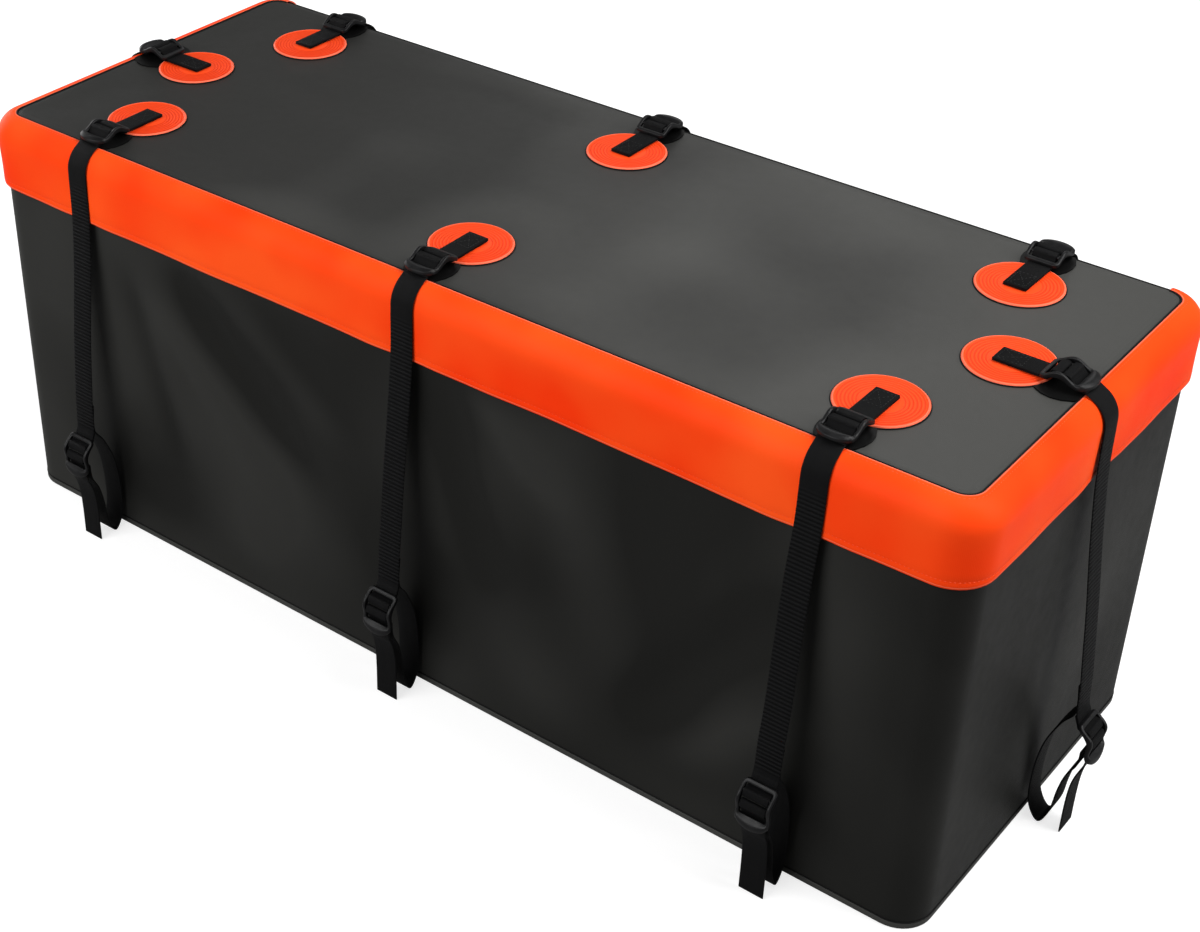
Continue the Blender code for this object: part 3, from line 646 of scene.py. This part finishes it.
def sew(work, points, normals):
    """A row of thread stitches along a line: each one a small lens that dives in at both ends."""
    travelled, due = 0.0, STITCH_PITCH / 2
    for here, there, normal in zip(points, points[1:], normals):
        span = (there - here).length
        along = (there - here) / span
        side = along.cross(normal).normalized()
        while due <= travelled + span:
            middle = here + along * (due - travelled)
            ends = [work.verts.new(middle + along * STITCH_LENGTH / 2 * s) for s in (-1, 1)]
            half = side * STITCH_WIDTH / 2
            moves = (half, normal * STITCH_RISE, -half, -normal * STITCH_DIP)
            ring = [work.verts.new(middle + move) for move in moves]
            for k in range(4):
                work.faces.new((ends[0], ring[k], ring[(k + 1) % 4]))
                work.faces.new((ends[1], ring[(k + 1) % 4], ring[k]))
            due += STITCH_PITCH
        travelled += span


def stitch(name, look, slot, *rows):
    """A piece of thread stitches, along rows given as (points, normals)."""
    work = bmesh.new()
    for points, normals in rows:
        sew(work, points, normals)
    dress(new_piece(name, work, looks[look]), slot)


# Strap sets

def strap_frame(name):
    """Frame of a strap set, from where its patch lies: x outward from the wall, y up, z across."""
    low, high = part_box("patch_" + name)
    centre = (low + high) / 2
    outward = Vector((0.0, math.copysign(1.0, centre.y), 0.0))
    foot = Vector((centre.x, outward.y * HALF_Y, 0.0))
    if name.endswith("_end"):
        outward = Vector((math.copysign(1.0, centre.x), 0.0, 0.0))
        foot = Vector((outward.x * HALF_X, centre.y, 0.0))
    frame_of = Matrix((outward, UP, outward.cross(UP))).transposed().to_4x4()
    frame_of.translation = foot
    return frame_of


def fixed_bar_wrap(reach_in, reach_back):
    """Webbing round the fixed bar, in buckle coordinates (u along the buckle, n off its base)."""
    corner = arc((END_BAR, 0.0), HUG, -90, -45, 3)
    near = arc((FIXED_BAR_AT - BAR_HALF, BAR_HEIGHT), WRAP_RADIUS, 180, 90, 5)
    far = arc((FIXED_BAR_AT + BAR_HALF, BAR_HEIGHT), WRAP_RADIUS, 90, -90, 8)
    below = -HUG - WEB_STEP
    back = [(FIXED_BAR_AT - BAR_HALF, BAR_HEIGHT - WRAP_RADIUS), (END_BAR + 2 * CLEAR + HUG, below)]
    return [(reach_in, -HUG)] + corner + near + far + back + [(reach_back, below)]


def grip_bar_wrap(tail=()):
    """Webbing round the grip bar, from under it to a tail below the lip."""
    near = arc((GRIP_BAR_AT - BAR_HALF, BAR_HEIGHT), WRAP_RADIUS, 270, 90, 8)
    far = arc((GRIP_BAR_AT + BAR_HALF, BAR_HEIGHT), WRAP_RADIUS, 90, 0, 5)
    corner = arc((LIP_START, 0.0), HUG, 225, 270, 3)
    return [(GRIP_BAR_AT + BAR_HALF, BAR_HEIGHT - WRAP_RADIUS)] + near + far + corner + list(tail)


def on_lid(points):
    """Buckle coordinates of the top buckle, placed in the strap set's frame."""
    return [(u - TOP_BUCKLE_INSET, BUCKLE_SEAT + n) for u, n in points]


def low_buckle_point(u, n):
    """One point of the lower buckle, which hangs tilted with its lip away from the wall."""
    sine, cosine = math.sin(LOW_BUCKLE_TILT), math.cos(LOW_BUCKLE_TILT)
    return (LOW_BUCKLE_OUT + sine * u + cosine * n, LOW_BUCKLE_TOP - cosine * u + sine * n)


def on_low_buckle(points):
    """Buckle coordinates of the lower buckle, placed in the strap set's frame."""
    return [low_buckle_point(u, n) for u, n in points]


def loose(shape):
    """Points of loose webbing, from shares of the lower buckle's stand-off and height."""
    return [(out * LOW_BUCKLE_OUT, up * LOW_BUCKLE_TOP) for out, up in shape]


def strap_lines():
    """Centre lines of the hanging strap and of its sewn lower loop with the tail."""
    threaded = on_lid(grip_bar_wrap([(BUCKLE_LENGTH - 2 * WEB_THICKNESS, -HUG)]))[::-1]
    under_lip = on_lid([(LIP_START - WEB_THICKNESS, -HUG - WEB_STEP),
                        (LIP_START + FOLD_BACK, -HUG - WEB_STEP)])
    shoulder_low = HEIGHT - FLAP_SHOULDER
    reach = SEAM_INSET + FLAP_OUT + STRAP_SHOULDER_OUT
    shoulder = [(-SEAM_INSET + reach * math.cos(math.radians(a)),
                 shoulder_low + (FLAP_SHOULDER + STRAP_SHOULDER_LIFT) * math.sin(math.radians(a)))
                for a in SHOULDER_TURNS]
    hip = FLAP_OUT + STRAP_SHOULDER_OUT
    rim_out, rim_level = low_buckle_point(-FOLD_BACK, -HUG)
    out, down = rim_out - hip, shoulder_low - rim_level
    hang = [(hip + far * out, shoulder_low - low * down) for far, low in HANG_SHAPE]
    wrap = on_low_buckle(fixed_bar_wrap(-FOLD_BACK / 2, -FOLD_BACK))
    joined = [(hip + SEWN_TOP_OUT * out, rim_level + SEWN_LENGTH + FOLD_BACK),
              (hip + CROTCH_OUT * out, rim_level + FOLD_BACK / 2), wrap[0]]
    drop = threaded + smooth(under_lip + shoulder + hang + joined) + wrap[1:]
    sewn = beside(joined, -WEB_THICKNESS)
    on_floor = (LOOP_FLOOR_OUT * LOW_BUCKLE_OUT, FLOOR_GAP + WEB_THICKNESS / 2)
    knee = low_buckle_point(BUCKLE_LENGTH, -BUCKLE_LENGTH / 4)
    front = [on_floor] + loose(LOOP_FRONT_SHAPE) + [knee]
    entry = low_buckle_point(LIP_START - 2 * BAR_RADIUS, -LOOP_BELOW_BUCKLE)
    tail = [low_buckle_point(LIP_START + TAIL_LEAD, -HUG)] + loose(TAIL_SHAPE)
    loop = smooth(sewn[:2] + loose(LOOP_BACK_SHAPE) + front + [entry]) + on_low_buckle(grip_bar_wrap())
    return drop, loop + smooth(tail + [(tail[-1][0], FLOOR_GAP)])


def webbing(work, frame_of, line, width, sway=lambda spot: 0.0):
    """Flat woven webbing with rounded selvedges along a centre line in a strap set's frame."""
    half, thick = width / 2, WEB_THICKNESS / 2
    flat, turn = half - SELVEDGE, half - SELVEDGE / 4
    side = [(-flat, thick), (-half / 3, thick), (half / 3, thick), (flat, thick),
            (turn, thick * 0.6), (half, 0.0), (turn, -thick * 0.6)]
    section = side + [(-across, -lift) for across, lift in side]
    rows, places = [], []
    for here, off, length in zip(line, beside(line, 1.0), lengths_along(line)):
        lean_x, lean_y = off[0] - here[0], off[1] - here[1]
        drift = sway(here)
        spots = [Vector((here[0] + lean_x * lift, here[1] + lean_y * lift, across + drift))
                 for across, lift in section]
        rows.append([work.verts.new(frame_of @ spot) for spot in spots])
        places.append([(across, length) for across, _ in section + section[:1]])
    skin(work, rows, places, capped=True)


def make_strap(name, frame_of, seed):
    """The hanging strap with its sewn loop and tail."""
    def sway(spot):
        loose_part = smoothstep(0.0, 0.14, HEIGHT - 0.03 - spot[1]) * smoothstep(0.0, 0.12, spot[1] - 0.2)
        return STRAP_SWAY * loose_part * noise.noise(Vector((seed, spot[1] / 0.22, 0.5)))
    drop, loop = strap_lines()
    work = bmesh.new()
    webbing(work, frame_of, drop, STRAP_WIDTH, sway)
    webbing(work, frame_of, loop, STRAP_WIDTH)
    strap = dress(new_piece("strap_webbing_" + name, work, looks["webbing"]), "webbing", "strap_" + name)


def make_anchor(name, frame_of, inset):
    """Folded webbing from the patch to the top buckle's fixed bar, sewn down with a crossed box."""
    tip = TOP_BUCKLE_INSET - inset - ANCHOR_PAST_CENTRE
    fold = on_lid(fixed_bar_wrap(tip, tip))
    work = bmesh.new()
    webbing(work, frame_of, fold, ANCHOR_WIDTH)
    anchor = new_piece("anchor_webbing_" + name, work, looks["webbing"])
    dress(anchor, "webbing", "anchor_web_" + name)
    top = BUCKLE_SEAT - HUG + WEB_THICKNESS / 2
    half = ANCHOR_WIDTH / 2 - ANCHOR_SEAM_INSET
    near = tip - TOP_BUCKLE_INSET + ANCHOR_SEAM_INSET
    far = near + ANCHOR_SEAM_LENGTH
    box = [(near, half), (near, -half), (far, -half), (near, half), (far, half), (near, -half),
           (far, -half), (far, half)]
    stitch("anchor_stitches_" + name, "black_thread", "webbing",
           ([frame_of @ Vector((x, top, across)) for x, across in box], [UP] * len(box)))


def make_disc(name, frame_of, inset):
    """The round patch: a raised rim, stitched rings in its outer half and a thin dark binding."""
    low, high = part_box("patch_" + name)
    centre = frame_of @ Vector((-inset, low.z, 0.0))
    rise = high.z - low.z
    face = rise - DISC_RIM_RISE
    profile = []
    at = RINGS_FROM + RING_PITCH / 4
    while at < DISC_RADIUS - 1.5 * DISC_RIM:
        profile += [(at - RING_PITCH / 4, face), (at, face - RING_DEPTH), (at + RING_PITCH / 4, face)]
        at += RING_PITCH
    profile += [(DISC_RADIUS - 1.3 * DISC_RIM, face), (DISC_RADIUS - DISC_RIM, rise),
                (DISC_RADIUS - 0.0012, rise - 0.0002), (DISC_RADIUS, face - 0.0005), (DISC_RADIUS, 0.0)]
    turns = [2 * math.pi * k / DISC_TURNS for k in range(DISC_TURNS)]

    def rings(work, section):
        return [[work.verts.new(centre + Vector((r * math.cos(a), r * math.sin(a), z))) for a in turns]
                for r, z in section]
    work = bmesh.new()
    layer = cloth_layer(work)
    middle = work.verts.new(centre + Vector((0.0, 0.0, face)))
    rows = rings(work, profile)
    places = [[(r * math.cos(a), r * math.sin(a)) for a in turns + [0.0]] for r, _ in profile]
    skin(work, rows, places)
    for k in range(DISC_TURNS):
        fan = work.faces.new((middle, rows[0][k], rows[0][(k + 1) % DISC_TURNS]))
        for loop, spot in zip(fan.loops, ((0.0, 0.0), places[0][k], places[0][k + 1])):
            loop[layer].uv = spot
    work.faces.new(rows[-1][::-1])
    patch = dress(new_piece("patch_cloth_" + name, work, looks["patch"]), "orange_fabric", "patch_" + name)
    work = bmesh.new()
    section = [(DISC_RADIUS - 0.0004, 0.0), (DISC_RADIUS - 0.0004, 0.0011),
               (DISC_RADIUS + DISC_OUTLINE * 0.6, 0.001), (DISC_RADIUS + DISC_OUTLINE, 0.0)]
    places = [[(DISC_RADIUS * a, r) for a in turns + [2 * math.pi]] for r, _ in section + section[:1]]
    skin(work, rings(work, section), places, closed_rows=True)
    dress(new_piece("patch_binding_" + name, work, looks["binding"]), "tub_fabric")


def make_strap_sets():
    """Patch, anchor and strap of every set."""
    for seed, (name, frame_of) in enumerate(strap_frames.items()):
        low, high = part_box("patch_" + name)
        inset = -(frame_of.inverted() @ ((low + high) / 2)).x
        make_disc(name, frame_of, inset)
        make_anchor(name, frame_of, inset)
        make_strap(name, frame_of, seed * 3.7)


# Buckles

def buckle_heights(u, swell):
    """Top and underside of the plate: an arch, a slight flare and a dome, highest on the lip."""
    arch = 0.5 - 0.5 * math.cos(2 * math.pi * min(u / ARCH_LENGTH, 1.0))
    flare = LIP_FLARE * smoothstep(ARCH_LENGTH, BUCKLE_LENGTH, u)
    dome = BUCKLE_SWELL + LIP_DOME * smoothstep(LIP_START - 0.004, LIP_START + 0.006, u)
    return BUCKLE_EDGE + BUCKLE_ARCH * arch + flare + swell * dome, BUCKLE_UNDERCUT * arch + flare


def where_rays_cross(outline, middle):
    """The outline's points where evenly turned rays from a middle point cross it."""
    found = []
    for k in range(BUCKLE_POINTS):
        angle = 2 * math.pi * (k + 0.5) / BUCKLE_POINTS
        ray = Vector((math.cos(angle), math.sin(angle)))
        best = 0.0
        for a, b in zip(outline, outline[1:] + outline[:1]):
            start, edge = Vector(a) - middle, Vector(b) - Vector(a)
            cross = ray.cross(edge)
            if abs(cross) > 1e-12 and -1e-9 <= start.cross(ray) / cross <= 1 + 1e-9:
                best = max(best, start.cross(edge) / cross)
        found.append((middle.x + ray.x * best, middle.y + ray.y * best))
    return found


def buckle_outlines():
    """Matching outer and window outlines of the buckle in plan, as (u, v) points."""
    half = BUCKLE_WIDTH / 2
    lip = [(BUCKLE_LENGTH - half * LIP_BULGE * (1 - math.sin(a)), half * math.cos(a))
           for a in [math.pi * k / 40 for k in range(41)]]
    shoulder = arc((CORNER_CUT, half - CORNER_CUT), CORNER_CUT, 90, 180, 8)
    plate = lip + [(u, -v) for u, v in shoulder] + shoulder[::-1]
    near, far, side = END_BAR + WINDOW_CORNER, LIP_START - WINDOW_CORNER, half - RAIL - WINDOW_CORNER
    window = []
    for turn, corner in enumerate(((far, side), (near, side), (near, -side), (far, -side))):
        window += arc(corner, WINDOW_CORNER, 90 * turn, 90 * turn + 90, 4)
    middle = Vector(((END_BAR + LIP_START) / 2, 0.0))
    return where_rays_cross(plate, middle), where_rays_cross(window, middle)


def buckle_bmesh():
    """The ladder lock: an arched frame with a round lip, rounded edges and two flat bars."""
    outer, inner = buckle_outlines()
    work = bmesh.new()
    tops, unders = [], []
    for k in range(BUCKLE_RINGS + 1):
        share = k / BUCKLE_RINGS
        ring = [(o[0] + (i[0] - o[0]) * share, o[1] + (i[1] - o[1]) * share) for o, i in zip(outer, inner)]
        heights = [buckle_heights(u, math.sin(math.pi * share)) for u, _ in ring]
        tops.append([work.verts.new((u, top, v)) for (u, v), (top, _) in zip(ring, heights)])
        unders.append([work.verts.new((u, under, v)) for (u, v), (_, under) in zip(ring, heights)])
    skin(work, tops + unders[::-1], closed_rows=True)
    half_span = BUCKLE_WIDTH / 2 - RAIL + BAR_ROOT
    for at in (FIXED_BAR_AT, GRIP_BAR_AT):
        rounds = (arc((at - BAR_HALF, BAR_HEIGHT), BAR_RADIUS, 90, 270, 8)
                  + arc((at + BAR_HALF, BAR_HEIGHT), BAR_RADIUS, -90, 90, 8))
        sides = [[work.verts.new((u, n, s * half_span)) for u, n in rounds] for s in (-1, 1)]
        skin(work, sides, capped=True)
    return work


def make_buckles():
    """Both buckles of every strap set, from one mesh."""
    mesh = new_mesh("ladder_lock", buckle_bmesh(), looks["plastic"])
    lid_seat = Matrix.Translation((-TOP_BUCKLE_INSET, BUCKLE_SEAT, 0.0))
    hang_seat = (Matrix.Translation((LOW_BUCKLE_OUT, LOW_BUCKLE_TOP, 0.0))
                 @ Matrix.Rotation(LOW_BUCKLE_TILT - math.pi / 2, 4, "Z"))
    for name, frame_of in strap_frames.items():
        for kind, seat in (("top_buckle_", lid_seat), ("lower_buckle_", hang_seat)):
            buckle = new_object(kind + "moulded_" + name, mesh)
            buckle.matrix_world = frame_of @ seat
            round_edges(buckle, MOULDED_EDGE, 4, 50.0)
            dress(buckle, "buckle_plastic", kind + name)


# Pieces that keep their CAD shapes

def make_kept_shapes():
    """The chafe pads, and the zip that the closed flap hides, with looks and rounded edges."""
    kept = [("chafe_pad_" + name, "pad", PAD_THICKNESS / 3, 3) for name in SETS]
    kept += [(kind + side, "metal", WORN_EDGE, 2) for kind in ("zip_slider_", "zip_pull_")
             for side in ("left", "right")]
    for node, look, width, segments in kept + [("zip_chain", "coil", 0.0, 0)]:
        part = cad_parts[node]
        part.data.materials.clear()
        part.data.materials.append(looks[look])
        if width:
            round_edges(part, width, segments)


# Materials

class Nodes:
    """Short calls for building one node tree; each gives an output socket."""

    def __init__(self, tree):
        self.tree = tree

    def fill(self, node, inputs):
        """A node with inputs, by name or number, linked to sockets or set to values."""
        for key, value in dict(inputs).items():
            if isinstance(value, bpy.types.NodeSocket):
                self.tree.links.new(value, node.inputs[key])
            else:
                node.inputs[key].default_value = value
        return node

    def add(self, kind, inputs=(), out=0, **settings):
        """A new node with its settings and inputs."""
        made = self.tree.nodes.new("ShaderNode" + kind)
        for key, value in settings.items():
            setattr(made, key, value)
        return self.fill(made, inputs).outputs[out]

    def maths(self, operation, *values, **settings):
        """One calculation on sockets and numbers."""
        return self.add("Math", enumerate(values), operation=operation, **settings)

    def span(self, value, low, high, start=0.0, end=1.0):
        """A value carried from one range to another, and held at both ends."""
        return self.add("MapRange", {"Value": value, "From Min": low, "From Max": high,
                                     "To Min": start, "To Max": end}, "Result")

    def cloth(self):
        """The point on the flat cloth, in metres."""
        return self.add("UVMap", uv_map="UVMap")

    def space(self):
        """The point in the object's own space."""
        return self.add("TexCoord", out="Object")

    def noise(self, point, scale, detail=2.0):
        """Noise at a scale of so many features a metre."""
        return self.add("TexNoise", {"Vector": point, "Scale": scale, "Detail": detail})

    def bands(self, point, pitch, axis):
        """Even ridges at a pitch in metres along one axis."""
        return self.add("TexWave", {"Vector": point, "Scale": math.pi / 10 / pitch}, 1, wave_type="BANDS",
                        bands_direction=axis)


class Look(Nodes):
    """One material on the standard shader."""

    def __init__(self, name, roughness, specular=0.5):
        self.material = bpy.data.materials.new(name)
        self.material.use_nodes = True
        super().__init__(self.material.node_tree)
        self.shader = self.fill(self.tree.nodes["Principled BSDF"],
                                {"Roughness": roughness, "Specular IOR Level": specular})

    def colours(self, factor, low, high):
        """The base colour, between two by a factor's middle range."""
        self.overlay(self.span(factor, 0.3, 0.7), high, (*low, 1.0))

    def roughness(self, factor, low, high):
        """The roughness, between two by a factor's middle range."""
        self.fill(self.shader, {"Roughness": self.span(factor, 0.3, 0.7, low, high)})

    def overlay(self, mask, colour, under=None):
        """A colour laid over another, or over the base colour so far, where a mask is 1."""
        under = under or self.shader.inputs["Base Color"].links[0].from_socket
        mixed = self.add("Mix", {0: mask, 6: under, 7: (*colour, 1.0)}, 2, data_type="RGBA")
        self.fill(self.shader, {"Base Color": mixed})

    def relief(self, *heights):
        """Stacked bumps, each a (height, distance in metres) entry."""
        last = {}
        for height, distance in heights:
            inputs = {"Height": height, "Strength": 1.0, "Distance": distance}
            last = {"Normal": self.add("Bump", {**inputs, **last})}
        self.fill(self.shader, last)


def coated(name, colour, light, roughness, specular, weave=0.0016, clouds=3.0):
    """Woven polyester under a smooth coat: a faint grid of threads, soft scuffs in its roughness and
    creases; its colour is painted light, paler on raised folds and darker in dips by the "rise" attribute,
    with cloudy patches of painted sheen.
    """
    made = Look(name, roughness, specular)
    cloth, space = made.cloth(), made.space()
    rise = made.add("Attribute", out=2, attribute_name="rise")
    # Painted light: paler where the cloth rises, darker in dips and along the painted slope, plus cloudy
    # patches of painted sheen
    painted_light = made.maths("MULTIPLY_ADD", rise, PAINTED_LIGHT_PER_METRE, made.noise(space, clouds, 1.5))
    made.colours(painted_light, colour, light)
    made.roughness(made.noise(space, 60.0, 4.0), roughness - 0.02, roughness + 0.03)
    threads = made.maths("MULTIPLY", made.bands(cloth, weave, "X"), made.bands(cloth, weave, "Y"))
    made.relief((threads, 0.00008), (made.noise(space, 9.0), 0.0004))
    return made


def flap_fabric(hem_at):
    """The orange coated fabric with a paler line, a painted highlight, along its seam and its hem."""
    made = coated("orange_coated_fabric", ORANGE, ORANGE_LIGHT, 0.42, 0.03, clouds=7.0)
    down = made.add("SeparateXYZ", {0: made.cloth()}, "Y")
    seam, hem = [made.maths("COMPARE", down, at, width / 2) for at, width in
                 ((SEAM_LINE / 2, SEAM_LINE), (hem_at - 1.6 * SEAM_LINE, 0.6 * SEAM_LINE))]
    # Painted highlight along the seam and the hem
    made.overlay(made.maths("MAXIMUM", seam, hem), ORANGE_PAINTED_HIGHLIGHT)
    return made


def patch_fabric():
    """Orange coated fabric with sewn rings and a raised rim painted paler as a painted highlight, drawn by
    distance from its middle.
    """
    made = Look("orange_patch", 0.46, 0.1)
    cloth = made.cloth()
    radius = made.add("VectorMath", {0: cloth}, "Value", operation="LENGTH")
    wave = made.maths("SINE", made.maths("MULTIPLY", radius, 2 * math.pi / RING_PITCH))
    ringed = made.span(radius, RINGS_FROM - RING_PITCH / 4, RINGS_FROM + RING_PITCH / 4)
    ring = made.maths("MULTIPLY", wave, ringed)
    made.colours(ring, (0.9, 0.064, 0.01), (0.78, 0.036, 0.004))
    rim_from = DISC_RADIUS - DISC_RIM
    # Painted highlight along the raised rim
    made.overlay(made.span(radius, rim_from - 0.0004, rim_from + 0.0006), ORANGE_PAINTED_HIGHLIGHT)
    made.relief((ring, 0.0003), (made.noise(cloth, 700.0), 0.00008))
    return made


def webbing_material():
    """Woven black webbing: cross ribs on the hanging part, and fine warp threads."""
    made = Look("woven_webbing", 0.6, 0.07)
    cloth = made.cloth()
    level = made.add("SeparateXYZ", {0: made.space()}, "Z")
    between = made.maths("MULTIPLY", made.span(level, *RIBS_FADE[::-1]), made.span(level, *RIBS_START))
    rib = made.add("Mix", {0: between, 2: 0.5, 3: made.bands(cloth, RIB_PITCH, "Y")}, data_type="FLOAT")
    made.colours(rib, (0.0008, 0.0008, 0.0009), (0.0064, 0.0064, 0.0068))
    made.relief((rib, 0.0013), (made.bands(cloth, 0.0011, "X"), 0.0002), (made.noise(cloth, 900.0), 0.0001))
    return made


def thread(name, colour, light):
    """Twisted sewing thread."""
    made = Look(name, 0.55, 0.4)
    twist = made.noise(made.space(), 1800.0)
    made.colours(twist, colour, light)
    made.relief((twist, 0.0001))
    return made


def worn(name, colour, light, roughness, specular, wear, grain, metallic=0.0):
    """Moulded plastic or die-cast metal, with wear as (scale, detail) and grain with a depth too."""
    made = Look(name, roughness[0], specular)
    made.fill(made.shader, {"Metallic": metallic})
    space = made.space()
    cloud = made.noise(space, *wear)
    made.colours(cloud, colour, light)
    made.roughness(cloud, *roughness)
    made.relief((made.noise(space, *grain[:2]), grain[2]))
    return made


def zip_coil():
    """The zip's woven tapes and the nylon coil's turns."""
    made = Look("zip_coil", 0.5)
    turns, cross_turns = [made.bands(made.space(), 0.0022, axis) for axis in "XY"]
    made.colours(turns, (0.006,) * 3, (0.016,) * 3)
    made.relief((turns, 0.0004), (cross_turns, 0.0004))
    return made


looks = {key: made.material for key, made in {
    "tub": coated("tub_coated_fabric", (0.0118, 0.0118, 0.0109), (0.0265, 0.0265, 0.0247), 0.42, 0.05),
    # The lid's colours are the tub's fabric painted lighter: painted light on the top that faces the lamps
    "lid": coated("lid_coated_fabric", (0.02, 0.02, 0.0187), (0.048, 0.048, 0.045), 0.4, 0.14),
    # The bottom tape's pale colours are a painted highlight of the rounded bottom edge
    "edge_tape": coated("bottom_tape", (0.04, 0.04, 0.0375), (0.062, 0.062, 0.0585), 0.42, 0.06),
    "binding": coated("black_binding", (0.004,) * 3, (0.007,) * 3, 0.55, 0.08, 0.0009),
    "pad": coated("smooth_black_pad", (0.002,) * 3, (0.004,) * 3, 0.42, 0.08),
    "patch": patch_fabric(),
    "webbing": webbing_material(),
    "plastic": worn("buckle_plastic", (0.0035, 0.0035, 0.0039), (0.0065, 0.0065, 0.0069), (0.32, 0.46), 0.18,
                    (90.0, 3.0), (1500.0, 2.0, 0.00006)),
    "orange_thread": thread("orange_thread", (0.8, 0.07, 0.02), (0.95, 0.13, 0.04)),
    "black_thread": thread("black_thread", (0.01,) * 3, (0.022,) * 3),
    "metal": worn("slider_metal", (0.3, 0.3, 0.31), (0.42, 0.42, 0.42), (0.28, 0.42), 0.5,
                  (220.0, 4.0), (220.0, 4.0, 0.00008), metallic=1.0),
    "coil": zip_coil(),
}.items()}


# Studio

def make_camera():
    """The photograph's view."""
    lens = bpy.data.cameras.new("camera")
    lens.sensor_width = SENSOR
    lens.lens = FOCAL_PIXELS * SENSOR / PHOTO_WIDTH
    lens.shift_x = (CENTRE_X - PRINCIPAL_X) / PHOTO_WIDTH
    lens.shift_y = -(CENTRE_Y - PRINCIPAL_Y) / PHOTO_WIDTH
    look, right = Vector(CAMERA_LOOK).normalized(), Vector(CAMERA_RIGHT).normalized()
    camera = new_object("camera", lens)
    camera.matrix_world = (Matrix.Translation(CAMERA_AT)
                           @ Matrix((right, right.cross(look), -look)).transposed().to_4x4())
    bpy.context.scene.camera = camera


def make_lamps():
    """Square soft lights, each pointed at a place."""
    for name, (at, aim, size, power) in LAMPS.items():
        lamp = bpy.data.lights.new(name, "AREA")
        lamp.size = size
        lamp.energy = power
        light = new_object(name, lamp)
        light.location = at
        light.rotation_euler = (Vector(aim) - Vector(at)).to_track_quat("-Z", "Y").to_euler()


def mix_by_ray(nodes, lit, seen, output):
    """One shader for camera and transmission rays, partly for glossy ones, and the lit one for the rest."""
    camera, through, glossy = [nodes.add("LightPath", out=f"Is {ray} Ray")
                               for ray in ("Camera", "Transmission", "Glossy")]
    share = nodes.maths("MULTIPLY_ADD", glossy, GLOSSY_SHARE, nodes.maths("MAXIMUM", camera, through),
                        use_clamp=True)
    mixed = nodes.add("MixShader", {0: share, 1: lit.outputs[0], 2: seen})
    nodes.fill(nodes.tree.nodes[output], {"Surface": mixed})


def make_world():
    """Plain soft light all round, white where the camera sees it."""
    world = bpy.data.worlds.new("studio")
    bpy.context.scene.world = world
    world.use_nodes = True
    nodes = Nodes(world.node_tree)
    plain = {"Color": (1.0,) * 4}
    lit = nodes.fill(nodes.tree.nodes["Background"], {**plain, "Strength": WORLD_STRENGTH})
    mix_by_ray(nodes, lit, nodes.add("Background", {**plain, "Strength": 1.0}), "World Output")


def make_floor():
    """A plain pale floor that keeps the bag's shadow."""
    work = bmesh.new()
    bmesh.ops.create_grid(work, x_segments=8, y_segments=8, size=FLOOR_HALF)
    material = bpy.data.materials.new("pale_floor")
    floor = new_piece("floor", work, material)
    floor.location.z = FLOOR_LEVEL
    material.use_nodes = True
    nodes = Nodes(material.node_tree)
    lit = nodes.fill(nodes.tree.nodes["Principled BSDF"],
                     {"Base Color": (0.26, 0.26, 0.26, 1.0), "Roughness": 0.9})
    away = nodes.add("VectorMath", {0: nodes.space()}, "Value", operation="LENGTH")
    glow = nodes.add("Emission", {"Strength": nodes.span(away, *FLOOR_GLOW_AT, *FLOOR_GLOW)})
    shade = nodes.add("BsdfDiffuse", {"Color": (0.42, 0.42, 0.42, 1.0)})
    mix_by_ray(nodes, lit, nodes.add("AddShader", {0: shade, 1: glow}), "Material Output")


strap_frames = {name: strap_frame(name) for name in SETS}
make_camera()
make_world()
make_floor()
make_lamps()
bpy.context.scene.view_settings.view_transform = "Standard"
make_shells()
make_flap()
make_bottom_edge()
make_hinge_strip()
make_strap_sets()
make_buckles()
make_kept_shapes()
